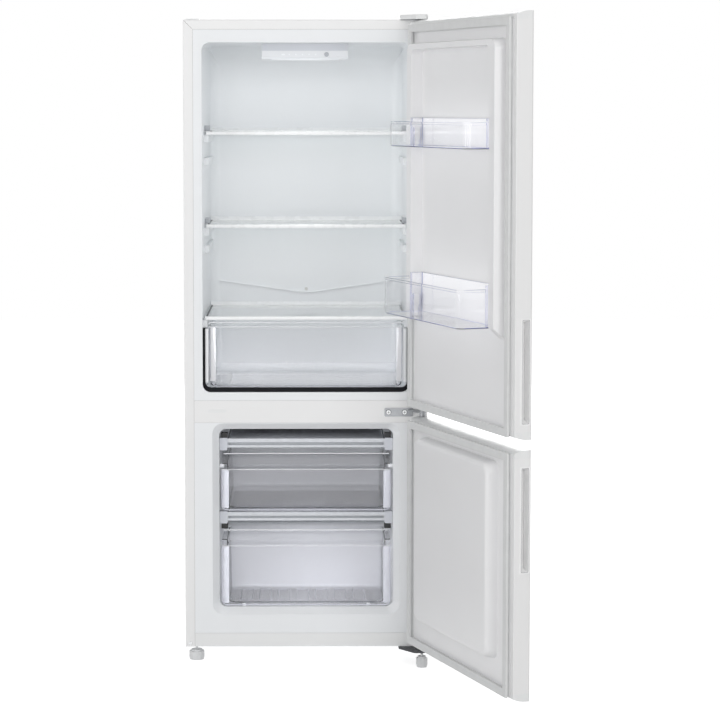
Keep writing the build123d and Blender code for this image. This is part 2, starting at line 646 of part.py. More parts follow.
def make_cabinet():
    all_x = (-HALF_CABINET, HALF_CABINET)
    whole = block(all_x, (0, CABINET_DEPTH), (CABINET_BOTTOM, CABINET_TOP))
    inner = cabinet_block(SHEET)
    window_half, window_top = HALF_CABINET - FLANGE_WIDTH, CABINET_TOP - FLANGE_WIDTH
    window_z = (CABINET_BOTTOM - CUT_PAST, window_top)
    window = block((-window_half, window_half), (-CUT_PAST, SHEET + CUT_PAST), window_z)
    shell = cabinet_block(0) - inner - window
    for side in (-1, 1):
        corner = Pos(side * (HALF_CABINET + window_half) / 2, SHEET / 2, (CABINET_TOP + window_top) / 2)
        shell -= corner * Rot(0, -side * 45, 0) * Box(FLANGE_WIDTH * 1.25, SHEET * 4, MITRE_SLOT)
    save("cabinet_shell", shell)

    # The front lips of the two plastic linings, the steel strip between them and the rail below.
    face_x = (-FACE_HALF, FACE_HALF)
    fridge_lip = block(face_x, (0, LINER), (MULLION_TOP + SEAM, FACE_TOP))
    freezer_lip = block(face_x, (0, LINER), (FRONT_RAIL_TOP + SEAM, MULLION_BOTTOM - SEAM))
    fridge_space, freezer_space = fridge_cavity(), freezer_cavity()
    fridge_outside = fridge_cavity(LINER) & whole
    freezer_outside = freezer_cavity(LINER) & whole
    tube = drain_tube()
    drain_from = (0, FRIDGE_DEPTH - 2 * GUTTER_REACH, DRAIN_Z)
    drain_hole = rod(drain_from, (0, FRIDGE_DEPTH + LINER, DRAIN_Z), DRAIN_D - 3)
    fridge_liner = (fridge_outside + fridge_lip) - fridge_space + shelf_supports()
    fridge_liner = fridge_liner + drain_gutter() - drain_hole
    freezer_liner = (freezer_outside + freezer_lip) - freezer_space + drawer_runners()
    save("fridge_liner", fridge_liner)
    save("freezer_liner", freezer_liner)

    # Foam fills all that the sheet, the linings and the bay leave.
    tall = (CABINET_BOTTOM - CUT_PAST, FACE_TOP + SEAM)
    lip_zone = block((-FACE_HALF - SEAM, FACE_HALF + SEAM), (-CUT_PAST, LINER), tall)
    sole_z = (CABINET_BOTTOM, BAY_FLOOR)
    floor_zone = block(all_x, (-CUT_PAST, CABINET_DEPTH + CUT_PAST), sole_z)
    behind_y = (CABINET_DEPTH - SHEET, CABINET_DEPTH + CUT_PAST)
    behind = block(all_x, behind_y, (CABINET_BOTTOM - CUT_PAST, CABINET_TOP))
    foam = inner - fridge_outside - freezer_outside - lip_zone - floor_zone
    foam = foam - machine_bay(SHEET) - behind - tube
    foam -= foot_bore(LEFT_FOOT, CABINET_BOTTOM + 22, FOOT_STUD_D + 2 * FOOT_STUD_ROOM)
    save("cabinet_foam", foam)
    save("back_panel", back_panel() - tube)
    save("drain_tube", tube)

    strip = block(face_x, (0, FACE_PLATE), (MULLION_BOTTOM, MULLION_TOP))
    save("mullion_cover", strip)
    rail = rectangle((0, LINER), (BAY_FLOOR, FRONT_RAIL_TOP))
    save("bottom_front_rail", along_x(rail, face_x))

    # The base sheet, with a welded nut for the left foot's stud.
    sole = (block(all_x, (SHEET, CABINET_DEPTH - SHEET), sole_z) & inner) - machine_bay(SHEET)
    nut_top = CABINET_BOTTOM + FOOT_NUT_TOP
    nut = along_z(Pos(*LEFT_FOOT) * RegularPolygon(FOOT_NUT_D / 2, 6), (BAY_FLOOR, nut_top))
    stud_way = foot_bore(LEFT_FOOT, nut_top + CUT_PAST, FOOT_STUD_D + 2 * PIN_CLEARANCE)
    save("base_sheet", sole + nut - stud_way)

    save("hole_covers", *hole_covers())


def foot_bore(place, top, diameter):
    """The round way up through the cabinet's floor for a foot's stud."""
    return rod((*place, CABINET_BOTTOM - CUT_PAST), (*place, top), diameter)


def hole_covers():
    """Blank plastic covers over the holes for hanging the doors on the other side."""
    left = -HALF_CABINET
    top_z = (CABINET_TOP, CABINET_TOP + TOP_PLUG_HEIGHT)
    top_plug = block((left + TOP_PLUG_ENDS[0], left + TOP_PLUG_ENDS[1]), (-2.0, 16.0), top_z)
    top_plug = fillet(top_plug.edges().filter_by(Axis.Z), 2.0)
    side_x = (left + SIDE_PLUG_ENDS[0], left + SIDE_PLUG_ENDS[1])
    side_low = LOWER_DOOR_TOP + SIDE_PLUG_RISE
    face = rectangle(side_x, (side_low, side_low + SIDE_PLUG_HEIGHT), SIDE_PLUG_R)
    return [top_plug, along_y(face, (-SIDE_PLUG_PROUD, 0))]


def back_panel():
    """One folded sheet: the flat back with the machine compartment's walls and roof let into it."""
    half = HALF_CABINET - SHEET
    flat = block((-half, half), (CABINET_DEPTH - SHEET, CABINET_DEPTH), (CABINET_BOTTOM, CABINET_TOP))
    walls = machine_bay(SHEET) & block((-half, half), (0, CABINET_DEPTH), (CABINET_BOTTOM, CABINET_TOP))
    return ((flat & cabinet_block(SHEET)) + walls) - machine_bay()


def shelf_supports():
    """The moulded ledges on both side walls that the shelves and the crisper cover slide on."""
    ledges = []
    drop = SHELF_TRIM_HEIGHT + SEAT_GAP
    rows = [(shelf - drop, SHELF_FRONT + SUPPORT_SET_BACK) for shelf in (UPPER_SHELF_TOP, MIDDLE_SHELF_TOP)]
    rows += [(top, SHELF_FRONT + SUPPORT_SET_BACK) for top in SPARE_SUPPORT_TOPS]
    rows.append((COVER_TOP - drop, COVER_FRONT + 5))
    reach = (FRIDGE_HALF_WIDTH - FRIDGE_SIDE_DRAFT - SUPPORT_REACH, FRIDGE_HALF_WIDTH + LINER / 2)
    for top, front in rows:
        bar = block(reach, (front, FRIDGE_DEPTH - SUPPORT_BACK_GAP), (top - SUPPORT_HEIGHT, top))
        inner = bar.edges().filter_by(lambda e: abs(e.center().X - reach[0]) < 0.01)
        ledges += mirrored(fillet(inner, SUPPORT_EDGE_R))
    floor = (FRIDGE_BOTTOM - LINER / 2, CRISPER_BOTTOM - SEAT_GAP)
    along = (CRISPER_FRONT + 12, CRISPER_FRONT + CRISPER_DEPTH - 20)
    ledges += mirrored(block((RUNNER_X, RUNNER_X + RUNNER_WIDTH), along, floor))
    return Compound(children=ledges) & fridge_cavity(LINER / 2)


def drawer_runners():
    """The side ledges that carry the upper freezer drawer and the floor runners under the lower one."""
    top = UPPER_DRAWER_Z[1] - DRAWER_SIDE_DROP - DRAWER_WALL - SEAT_GAP
    ledge = block(
        (FREEZER_DRAWER_HALF_WIDTH - LEDGE_LAP, FREEZER_HALF_WIDTH + LINER / 2),
        (FREEZER_DRAWER_FRONT + DRAWER_FLANGE_SET_BACK + 2, FREEZER_DEPTH - LEDGE_BACK_GAP),
        (top - LEDGE_HEIGHT, top),
    )
    runner = block(
        (FLOOR_RUNNER_X, FLOOR_RUNNER_X + RUNNER_WIDTH),
        (FREEZER_DRAWER_FRONT + 8, FREEZER_FLOOR_DEPTH - 24),
        (FREEZER_BOTTOM - LINER / 2, LOWER_DRAWER_Z[0] + DRAWER_LIFT - SEAT_GAP),
    )
    return Compound(children=mirrored(ledge) + mirrored(runner)) & freezer_cavity(LINER / 2)


def drain_gutter():
    """The shallow V on the rear wall that leads melt water to the drain hole."""
    wide = FRIDGE_HALF_WIDTH - FRIDGE_SIDE_DRAFT - FRIDGE_REAR_R + GUTTER_REACH
    below = DRAIN_Z - DRAIN_D / 2 - 1
    right = [
        (DRAIN_D, below - GUTTER_LIP),
        (wide, DRAIN_SIDE_Z - GUTTER_LIP),
        (wide, DRAIN_SIDE_Z),
        (DRAIN_D, below),
    ]
    left = [(-x, z) for x, z in reversed(right)]
    face = outline([(x, z, 0) for x, z in right + left])
    return along_y(face, (FRIDGE_DEPTH - GUTTER_REACH, FRIDGE_DEPTH + LINER / 2))


# ---------------------------------------------------------------- machinery
def make_machinery():
    save("compressor_plate", compressor_plate())
    for name, x in (("left_roller", -ROLLER_X), ("right_roller", ROLLER_X)):
        save(name, Pos(x, ROLLER_Y, ROLLER_D / 2) * roller())

    bay_middle = BAY_FRONT + BAY_DEPTH / 2
    radius = COMPRESSOR_D / 2
    spread_x, spread_y = radius + 4, radius * 0.72
    can = compressor_can(bay_middle, spread_x, spread_y)
    stub_x, stub_y, stub_z = pipe_stub(bay_middle)
    stub = rod((stub_x, stub_y, stub_z), (COMPRESSOR_X - radius + 10, stub_y, stub_z), STUB_D)
    save("compressor", can + stub)

    mounts = []
    for side_x in (-1, 1):
        for side_y in (-1, 1):
            x, y = COMPRESSOR_X + side_x * spread_x, bay_middle + side_y * spread_y
            collar = Cylinder(11, MOUNT_HEIGHT * 0.4, align=ON_SEAT)
            mounts.append(Pos(x, y, BAY_FLOOR) * (collar + Cylinder(8.5, MOUNT_HEIGHT, align=ON_SEAT)))
    save("compressor_mounts", *mounts)

    # The terminal box on the can's side, with the gland that a mains lead enters by.
    box_x = COMPRESSOR_X + radius
    box_z = (COMPRESSOR_SEAT + 30, COMPRESSOR_SEAT + 84)
    relay = block((box_x - 8, box_x + 34), (bay_middle - 28, bay_middle + 28), box_z)
    relay = fillet(relay.edges().filter_by(Axis.X), 6)
    gland_x, gland_z = box_x + 20, COMPRESSOR_SEAT + 44
    gland = rod((gland_x, bay_middle + 27, gland_z), (gland_x, bay_middle + 38, gland_z), 12)
    save("relay_box", (relay + gland) - can)

    pan = pan_form(bay_middle, 0, (PAN_BOTTOM, PAN_BOTTOM + PAN_HEIGHT))
    pan -= pan_form(bay_middle, PAN_WALL, (PAN_BOTTOM + PAN_WALL, PAN_BOTTOM + PAN_HEIGHT + CUT_PAST))
    save("evaporation_tray", pan)

    save("condenser", *condenser())
    save("refrigerant_pipes", *refrigerant_pipes(bay_middle))


def compressor_plate():
    """The bay's floor plate with its rear lip, and the forks and axles of the rear rollers."""
    across = (-BAY_HALF, BAY_HALF)
    plate = block(across, (BAY_FRONT, CABINET_DEPTH), (CABINET_BOTTOM, BAY_FLOOR))
    rear_lip = (CABINET_DEPTH - BASE_SHEET, CABINET_DEPTH)
    plate += block(across, rear_lip, (CABINET_BOTTOM, CABINET_BOTTOM + 16))
    axle_z = ROLLER_D / 2
    cheek = outline([
        (ROLLER_Y - 12, CABINET_BOTTOM, 0),
        (ROLLER_Y - 8, axle_z - 6, 5),
        (ROLLER_Y + 8, axle_z - 6, 5),
        (ROLLER_Y + 12, CABINET_BOTTOM, 0),
    ])
    cheek_inside = ROLLER_WIDTH / 2 + ROLLER_GAP
    axle_half = cheek_inside + FORK_CHEEK + 2.4
    for x in (-ROLLER_X, ROLLER_X):
        plate += along_x(cheek, (x - cheek_inside - FORK_CHEEK, x - cheek_inside))
        plate += along_x(cheek, (x + cheek_inside, x + cheek_inside + FORK_CHEEK))
        plate += rod((x - axle_half, ROLLER_Y, axle_z), (x + axle_half, ROLLER_Y, axle_z), AXLE_D)
    return plate


def roller():
    """One rear transport roller: a tread between two narrower hubs, bored for its axle."""
    half = ROLLER_WIDTH / 2
    hubs = rod((-half, 0, 0), (half, 0, 0), ROLLER_D - 5)
    tread = rod((-half + 2, 0, 0), (half - 2, 0, 0), ROLLER_D)
    bore = rod((-ROLLER_WIDTH, 0, 0), (ROLLER_WIDTH, 0, 0), AXLE_D + 2 * PIN_CLEARANCE)
    return hubs + tread - bore


def compressor_can(bay_middle, spread_x, spread_y):
    """The compressor's welded can on its foot plate."""
    radius = COMPRESSOR_D / 2
    half_section = Plane.XZ * outline([(share * radius, z, 0) for share, z in CAN_PROFILE])
    plate_x, plate_y = (-spread_x - 12, spread_x + 12), (-spread_y - 8, spread_y + 8)
    foot_plate = along_z(rectangle(plate_x, plate_y, 14), (0, COMPRESSOR_PLATE))
    can = revolve(half_section, Axis.Z, 360) + foot_plate
    return Pos(COMPRESSOR_X, bay_middle, COMPRESSOR_SEAT) * can


def pipe_stub(bay_middle):
    """The outer end of the pipe stub on the compressor's side."""
    radius = COMPRESSOR_D / 2
    return COMPRESSOR_X - radius - STUB_LENGTH, bay_middle - STUB_FORWARD, COMPRESSOR_SEAT + STUB_RISE


def pan_form(bay_middle, inset, z):
    """The evaporation tray's outer form over the compressor, moved in by inset."""
    across = (COMPRESSOR_X - PAN_HALF_WIDTH + inset, COMPRESSOR_X + PAN_HALF_WIDTH - inset)
    along = (bay_middle + PAN_Y[0] + inset, bay_middle + PAN_Y[1] - inset)
    return along_z(rectangle(across, along, 12 - inset), z)


def condenser():
    """A zigzag tube with upright wires across it, standing behind the flat back, on four clips."""
    y = CONDENSER_Y
    low, high = CONDENSER_Z
    half = CONDENSER_HALF_WIDTH
    turn = CONDENSER_PITCH / 2
    reach = half + CONDENSER_REACH
    points = [(reach, y, BAY_HEIGHT - 10), (reach, y, low)]
    rows = int((high - low) / CONDENSER_PITCH)
    for row in range(rows + 1):
        z = low + row * CONDENSER_PITCH
        start = reach if row % 2 == 0 else -reach
        points += [(start, y, z), (-start, y, z)] if row else [(-start, y, z)]
    pieces = [pipe(points, turn * 0.45, CONDENSER_TUBE_D, HIDDEN_TUBE_SIDES)]
    top = low + rows * CONDENSER_PITCH
    wire_y = y + (CONDENSER_TUBE_D + WIRE_D) / 2
    for index in range(WIRE_COUNT):
        x = -half + 2 * half * index / (WIRE_COUNT - 1)
        wire = Pos(x, wire_y) * RegularPolygon(WIRE_D / 2, WIRE_SIDES)
        pieces.append(along_z(wire, (low - WIRE_PAST, top + WIRE_PAST)))
    wide, tall = CONDENSER_CLIP
    for x in (-half + 40, half - 40):
        for z in (low, top):
            clip_y = (CABINET_DEPTH, y - CONDENSER_TUBE_D / 2)
            pieces.append(block((x - wide / 2, x + wide / 2), clip_y, (z - tall / 2, z + tall / 2)))
    return pieces


def refrigerant_pipes(bay_middle):
    """The suction pipe, and the drier between the condenser and the capillary on its holder."""
    start_x, y, z = pipe_stub(bay_middle)
    drier_x = start_x - 70
    drier_y = y + 40
    suction = pipe([(start_x, y, z), (start_x - 26, y, z), (start_x - 26, y + 6, z + 92)], 10, 6)
    drier = rod((drier_x, drier_y, z - 40), (drier_x, drier_y, z + 46), 17)
    neck = rod((drier_x, drier_y, z - 60), (drier_x, drier_y, z + 66), 5)
    holder = block((drier_x - 3, drier_x + 3), (drier_y, drier_y + 12), (BAY_FLOOR, z - 30))
    return [suction, drier + neck + holder]


# ---------------------------------------------------------------- hinges, screws, feet
def pivot_rod(low, high, diameter):
    """A round bar on the doors' hinge axis."""
    return rod((PIVOT_X, PIVOT_Y, low), (PIVOT_X, PIVOT_Y, high), diameter)


def cover_plan(inset):
    """The top hinge cover's plan outline, moved in by inset."""
    right = HALF_CABINET - 4 - inset
    return outline([
        (HINGE_X + inset, TOP_HINGE_BACK - inset, 5 - inset),
        (HINGE_X + inset, -6 + inset / 2, 6 - inset),
        (PIVOT_X - 18 + inset / 2, PIVOT_Y - 13 + inset, 9 - inset),
        (right, PIVOT_Y - 13 + inset, 9 - inset),
        (right, TOP_HINGE_BACK - inset, 5 - inset),
    ])


def make_hinges():
    # Top hinge: a plate screwed on the roof with a pin down into the door, under a plastic cover.
    plate_top = CABINET_TOP + HINGE_PLATE
    top_plate = along_z(outline([
        (HINGE_X + 8, TOP_HINGE_BACK - 6, 4),
        (HINGE_X + 8, 2, 4),
        (PIVOT_X - 12, PIVOT_Y - 8, 8),
        (PIVOT_X + 7, PIVOT_Y - 8, 7),
        (PIVOT_X + 7, TOP_HINGE_BACK - 6, 4),
    ]), (CABINET_TOP, plate_top))
    top_pin = pivot_rod(UPPER_DOOR_TOP - DOOR_CAP + PIN_END_GAP, CABINET_TOP + 1, PIN_D)
    screw_y = TOP_HINGE_BACK - 16
    screw_x = (HINGE_X + 20, PIVOT_X - 6)
    top_screws = [screw((x, screw_y, plate_top), (0, 0, 1), TOP_SCREW_D) for x in screw_x]
    save("top_hinge", top_plate + top_pin)

    cover_top = CABINET_TOP + TOP_COVER_HEIGHT
    cover = along_z(cover_plan(0), (CABINET_TOP, cover_top))
    cover = chamfer(cover.faces().sort_by(Axis.Z)[-1].edges(), 1.8)
    room = along_z(cover_plan(TOP_COVER_WALL), (CABINET_TOP - CUT_PAST, cover_top - TOP_COVER_WALL))
    save("top_hinge_cover", cover - room)

    # Middle hinge: an upright plate on the strip, and an arm between the doors with a pin up and down.
    arm_z = (MIDDLE_ARM_Z, MIDDLE_ARM_Z + HINGE_PLATE)
    plate = along_y(rectangle(MIDDLE_PLATE_X, MIDDLE_PLATE_Z, 3.0), (-MIDDLE_PLATE, 0))
    arm = along_z(outline([
        (MIDDLE_PLATE_X[1] - 13, 0, 0),
        (MIDDLE_PLATE_X[1] - 11, -9, 5),
        (PIVOT_X - 11, PIVOT_Y - 7, 8),
        (PIVOT_X + 9, PIVOT_Y - 9, 8),
        (PIVOT_X + 9, -14, 4),
        (PIVOT_X + 2, 0, 0),
    ]), arm_z)
    pin_reach = DOOR_CAP - PIN_END_GAP
    pins = pivot_rod(LOWER_DOOR_TOP - pin_reach, UPPER_DOOR_BOTTOM + pin_reach, PIN_D)
    boss = pivot_rod(LOWER_DOOR_TOP + 1.5, UPPER_DOOR_BOTTOM - 1.0, PIN_D + 7)
    save("middle_hinge", plate + arm + pins + boss)

    # Bottom hinge: a thick bracket under the cabinet whose hollow pin takes the right foot's stud.
    low = CABINET_BOTTOM - BOTTOM_HINGE_PLATE
    bracket = along_z(outline([
        (HINGE_X, BOTTOM_HINGE_BACK, 3),
        (HINGE_X, -2, 6),
        (PIVOT_X - 18, PIVOT_Y - 8, 12),
        (PIVOT_X + 11, PIVOT_Y - 8, 9),
        (PIVOT_X + 11, -4, 3),
        (HALF_CABINET - 3, 2, 0),
        (HALF_CABINET - 3, BOTTOM_HINGE_BACK, 3),
    ]), (low, CABINET_BOTTOM))
    pin = pivot_rod(low, LOWER_DOOR_BOTTOM + pin_reach, BOTTOM_PIN_D)
    collar = pivot_rod(low, LOWER_DOOR_BOTTOM - 1.0, BUSH_D)
    bore = pivot_rod(low - CUT_PAST, low + 14, FOOT_STUD_D + 2 * PIN_CLEARANCE)
    save("bottom_hinge", bracket + pin + collar - bore)

    mid_z = (MIDDLE_PLATE_Z[0] + MIDDLE_PLATE_Z[1]) / 2
    face_screws = [screw((x, -MIDDLE_PLATE, mid_z), (0, -1, 0), SCREW_D) for x in MIDDLE_SCREWS]
    corner_at = (CORNER_SCREW[0] - HALF_CABINET, 0, CABINET_BOTTOM + CORNER_SCREW[1])
    corner = screw(corner_at, (0, -1, 0), CORNER_SCREW_D)
    rear_y = BOTTOM_HINGE_BACK - 14
    places = ((HINGE_X + 14, rear_y), (HALF_CABINET - 18, rear_y), (HINGE_X + 14, 18))
    below = [screw((x, y, low), (0, 0, -1), UNDER_SCREW_D) for x, y in places]
    save("hinge_screws", *top_screws, *face_screws, corner, *below)


def screw(seat, way, diameter):
    """A pan-head screw's head, standing on its seat and pointing along way."""
    radius = diameter / 2
    head = Cylinder(radius, SCREW_HEAD, align=ON_SEAT)
    reach = diameter / 2
    slots = Box(reach, SCREW_SLOT, SCREW_HEAD) + Box(SCREW_SLOT, reach, SCREW_HEAD)
    head -= Pos(0, 0, SCREW_HEAD) * slots
    return Plane(origin=seat, z_dir=way) * head


def foot(place, diameter, pad_height, stud_top, sides):
    """A levelling foot: a faceted grip ring over a round sole, and a threaded stud's outer form."""
    radius = diameter / 2
    pad = Cylinder(radius - 1.5, FOOT_SOLE, align=ON_SEAT)
    pad += Pos(0, 0, FOOT_SOLE - 0.5) * extrude(RegularPolygon(radius, sides), amount=pad_height - 9)
    pad += Cylinder(radius * 0.72, pad_height, align=ON_SEAT)
    pad += rod((0, 0, pad_height - 1), (0, 0, stud_top), FOOT_STUD_D)
    return Pos(*place, 0) * pad


def make_feet():
    save("left_foot", foot(LEFT_FOOT, LEFT_FOOT_D, FOOT_PAD, CABINET_BOTTOM + 14, 12))
    low = CABINET_BOTTOM - BOTTOM_HINGE_PLATE
    save("right_foot", foot((PIVOT_X, PIVOT_Y), RIGHT_FOOT_D, FOOT_PAD + 2, low + 12, 10))


# ---------------------------------------------------------------- inside the fridge
def shelf_glass(front, depth, top):
    """A plate of glass let into its front and rear trims."""
    half = SHELF_HALF_WIDTH - 1.0
    low = top - GLASS_DROP - GLASS
    along = (front + SHELF_TRIM_DEPTH - GLASS_LAP, front + depth - 2)
    return block((-half, half), along, (low, low + GLASS))


def shelf_trims(front, depth, top):
    """The front nose strip and the rear upstand, each gripping the glass in a groove."""
    glass = shelf_glass(front, depth, top)
    low = top - SHELF_TRIM_HEIGHT
    nose = along_x(outline([
        (front, low, 2.5),
        (front + SHELF_TRIM_DEPTH, low, 0),
        (front + SHELF_TRIM_DEPTH, top, 0.6),
        (front, top, 3.5),
    ]), (-SHELF_HALF_WIDTH, SHELF_HALF_WIDTH))
    back = front + depth
    rear_top = low + REAR_TRIM_HEIGHT + REAR_TRIM_RISE
    heel = along_x(outline([
        (back - REAR_TRIM_DEPTH, low, 0),
        (back, low, 0),
        (back, rear_top, 2),
        (back - 3, rear_top, 0.8),
        (back - REAR_TRIM_DEPTH, top, 0),
    ]), (-SHELF_HALF_WIDTH, SHELF_HALF_WIDTH))
    return [nose - glass, heel - glass]


def crisper_drawer():
    """A clear tub with draughted walls, rounded corners and a pull rail along the top of its front."""
    back = CRISPER_FRONT + CRISPER_DEPTH
    rail_low = CRISPER_TOP - CRISPER_RAIL_HEIGHT
    rail_under = CRISPER_TOP - CRISPER_RAIL_WALL
    tub = tub_form(CRISPER_HALF_WIDTH, (CRISPER_FRONT, back), (CRISPER_BOTTOM, rail_low), CRISPER_CORNER_R)
    rail = along_x(outline([
        (CRISPER_FRONT, rail_low, 0),
        (CRISPER_FRONT + CRISPER_RAIL_WALL, rail_low, 0),
        (CRISPER_FRONT + CRISPER_RAIL_WALL, rail_under, 2.4),
        (CRISPER_FRONT + CRISPER_RAIL_DEPTH, rail_under, 0),
        (CRISPER_FRONT + CRISPER_RAIL_DEPTH, CRISPER_TOP, 1.2),
        (CRISPER_FRONT, CRISPER_TOP, 3.4),
    ]), (-CRISPER_HALF_WIDTH, CRISPER_HALF_WIDTH))
    return tub + rail


def tub_form(half, y, z, radius):
    """An open-topped tub: walls DRAWER_WALL thick, leaning in all round towards a rounded bottom."""
    lean = DRAWER_DRAFT / (z[1] - z[0])

    def form(inset, low, high):
        outlines = []
        for step_in, step_up in round_steps(radius * 0.45 - inset / 2) + [(0.0, high - low)]:
            level = low + step_up
            reach = inset + (z[1] - level) * lean + step_in
            across, along = (-half + reach, half - reach), (y[0] + reach, y[1] - reach)
            outlines.append(Plane.XY.offset(level) * rectangle(across, along, radius - inset))
        return loft(outlines, ruled=True)

    return form(0, z[0], z[1]) - form(DRAWER_WALL, z[0] + DRAWER_WALL, z[1])


def bay_trim():
    """The dark U round the crisper's mouth, against the floor and the side walls."""
    top = COVER_TOP - SHELF_TRIM_HEIGHT - SUPPORT_HEIGHT - BAY_TRIM_TOP_GAP

    def cup(half, floor, high, radius):
        return outline([(-half, floor, radius), (half, floor, radius), (half, high, 0), (-half, high, 0)])

    half = FRIDGE_HALF_WIDTH - SEAT_GAP
    floor = FRIDGE_BOTTOM + SEAT_GAP
    ring = cup(half, floor, top, FRIDGE_MOUTH_R)
    ring -= cup(half - BAY_TRIM_SIDE, floor + BAY_TRIM_BOTTOM, top + CUT_PAST, BAY_TRIM_R)
    front = CRISPER_FRONT - BAY_TRIM_FORWARD
    return along_y(ring, (front, front + BAY_TRIM_DEPTH)) & fridge_cavity(-SEAT_GAP / 2)


def make_fridge_inside():
    shelves = (
        ("upper_shelf", SHELF_FRONT, SHELF_DEPTH, UPPER_SHELF_TOP),
        ("middle_shelf", SHELF_FRONT, SHELF_DEPTH, MIDDLE_SHELF_TOP),
        ("crisper_cover", COVER_FRONT, COVER_DEPTH, COVER_TOP),
    )
    for name, front, depth, top in shelves:
        save(name + "_glass", shelf_glass(front, depth, top))
        save(name + "_trims", *shelf_trims(front, depth, top))
    save("crisper_drawer", crisper_drawer())
    save("crisper_bay_trim", bay_trim())

    make_control_panel()


def make_control_panel():
    """A slim housing under the ceiling with a sloping face, a push button and light windows."""
    back = PANEL_FRONT + PANEL_DEPTH
    roof = FRIDGE_TOP - SEAT_GAP
    nose = PANEL_BOTTOM + PANEL_LIP
    housing = along_x(outline([
        (PANEL_FRONT, roof, 0),
        (PANEL_FRONT + PANEL_SLOPE, nose, 0),
        (PANEL_FRONT + PANEL_SLOPE - 2.5, PANEL_BOTTOM + 2, 0.8),
        (PANEL_FRONT + PANEL_SLOPE - 1.5, PANEL_BOTTOM, 0),
        (back, PANEL_BOTTOM, 4),
        (back, roof, 0),
    ]), PANEL_X)
    face_lean = degrees(atan2(PANEL_SLOPE, roof - nose))
    face_y = PANEL_FRONT + (roof - BUTTON_Z) * tan(radians(face_lean))
    on_face = Pos(BUTTON_X, face_y, BUTTON_Z) * Rot(90 + face_lean, 0, 0)
    well = on_face * Cylinder(BUTTON_D / 2 + BUTTON_GAP, BUTTON_D + CUT_PAST)
    stem = Cylinder(BUTTON_D / 2, BUTTON_PROUD + BUTTON_SUNK)
    button = on_face * Pos(0, 0, (BUTTON_PROUD - BUTTON_SUNK) / 2) * stem
    button = chamfer(button.edges().sort_by(Axis.Y)[0], 0.7)
    windows = []
    sizes = [(LAMP_X, *LAMP_SIZE)]
    sizes += [(MARK_X + MARK_PITCH * index, MARK_SIZE, MARK_SIZE) for index in range(MARK_COUNT)]
    for x, wide, tall in sizes:
        place = Pos(x, face_y, BUTTON_Z) * Rot(90 + face_lean, 0, 0)
        windows.append(place * Box(wide, tall, WINDOW_THICKNESS))
    side, ahead, behind = LENS_MARGINS
    lens_x, lens_y = (PANEL_X[0] + side, PANEL_X[1] - side), (PANEL_FRONT + ahead, back - behind)
    lens = block(lens_x, lens_y, (PANEL_BOTTOM - LENS_PROUD, PANEL_BOTTOM + LENS_SUNK))
    lens = fillet(lens.edges().filter_by(Axis.Z), 4)
    housing = housing - well - lens
    for window in windows:
        housing -= window
    save("control_panel", housing)
    save("light_windows", *windows, lens)
    save("temperature_button", button)


# ---------------------------------------------------------------- inside the freezer
def freezer_drawer(y, z):
    """A clear freezer drawer: a tub hung on side flanges, behind a front with a scooped pull."""
    half = FREEZER_DRAWER_HALF_WIDTH
    front, back = y
    body_half = half - DRAWER_BODY_INSET
    rim = z[1] - DRAWER_SIDE_DROP
    seat = (front + DRAWER_WALL, back)
    tub = tub_form(body_half, seat, (z[0] + DRAWER_LIFT, rim - DRAWER_WALL), FREEZER_CORNER_R)
    flange = rectangle((-half, half), (front + DRAWER_FLANGE_SET_BACK, back), 5)
    flange += rectangle((-body_half, body_half), seat, FREEZER_CORNER_R)
    inner_half = body_half - DRAWER_WALL
    inside = (seat[0] + DRAWER_WALL, seat[1] - DRAWER_WALL)
    flange -= rectangle((-inner_half, inner_half), inside, FREEZER_CORNER_R - DRAWER_WALL)
    flange = along_z(flange, (rim - DRAWER_WALL, rim))
    middle = DRAWER_WALL / 2
    line = FilletPolyline(
        (front + middle, z[0]),
        (front + middle, z[1] - DRAWER_SCOOP),
        (front + DRAWER_SCOOP_DEPTH, z[1] - DRAWER_SCOOP + 8),
        (front + DRAWER_SCOOP_DEPTH, z[1] - 10),
        (front + 5, z[1] - middle),
        radius=4.5,
    )
    face = trace(line, DRAWER_WALL)
    panel = along_x(face, (-half, half))
    mask = along_y(rectangle((-half, half), z, 12), (front - 5, front + 40))
    return tub + flange + (panel & mask)


def evaporator_shelf(z):
    """A cooling shelf: a zigzag tube lying flat, with a front bar and a rear bar across its ends."""
    radius = EVAPORATOR_TUBE_D / 2
    level = z[1] - EVAPORATOR_BAR - radius - 1
    front, back = EVAPORATOR_FRONT + 18, EVAPORATOR_FRONT + EVAPORATOR_DEPTH
    half = EVAPORATOR_HALF_WIDTH - 10
    pitch = 2 * half / (EVAPORATOR_RUNS - 1)
    points = []
    for index in range(EVAPORATOR_RUNS):
        x = -half + pitch * index
        ends = (back, front) if index % 2 == 0 else (front, back)
        points += [(x, ends[0], level), (x, ends[1], level)]
    tube = pipe(points, pitch * 0.42, EVAPORATOR_TUBE_D)
    width = (-EVAPORATOR_HALF_WIDTH, EVAPORATOR_HALF_WIDTH)
    nose = (EVAPORATOR_FRONT, EVAPORATOR_FRONT + EVAPORATOR_BAR_DEPTH)
    frame = along_x(rectangle(nose, (z[1] - EVAPORATOR_BAR, z[1]), 2), width)
    frame += along_x(rectangle((nose[0] + 1, nose[1] - 1), (z[0] + 10, z[0] + 17), 2), width)
    rest_z = (level + radius, level + radius + EVAPORATOR_REST)
    for rest_front in (back - 2 * EVAPORATOR_REST, front + 4 * EVAPORATOR_REST):
        frame += block(width, (rest_front, rest_front + EVAPORATOR_REST), rest_z)
    end = (EVAPORATOR_HALF_WIDTH - 1.5 * EVAPORATOR_TIE, EVAPORATOR_HALF_WIDTH - 0.5 * EVAPORATOR_TIE)
    side_tie = block(end, (nose[0] + 2, back - 6), (z[1] - EVAPORATOR_BAR + 2, z[1] - 4))
    front_tie = block(end, (nose[0] + 2, nose[1] - 2), (z[0] + 12, z[1] - 3))
    for tie in mirrored(side_tie) + mirrored(front_tie):
        frame += tie
    return tube, frame


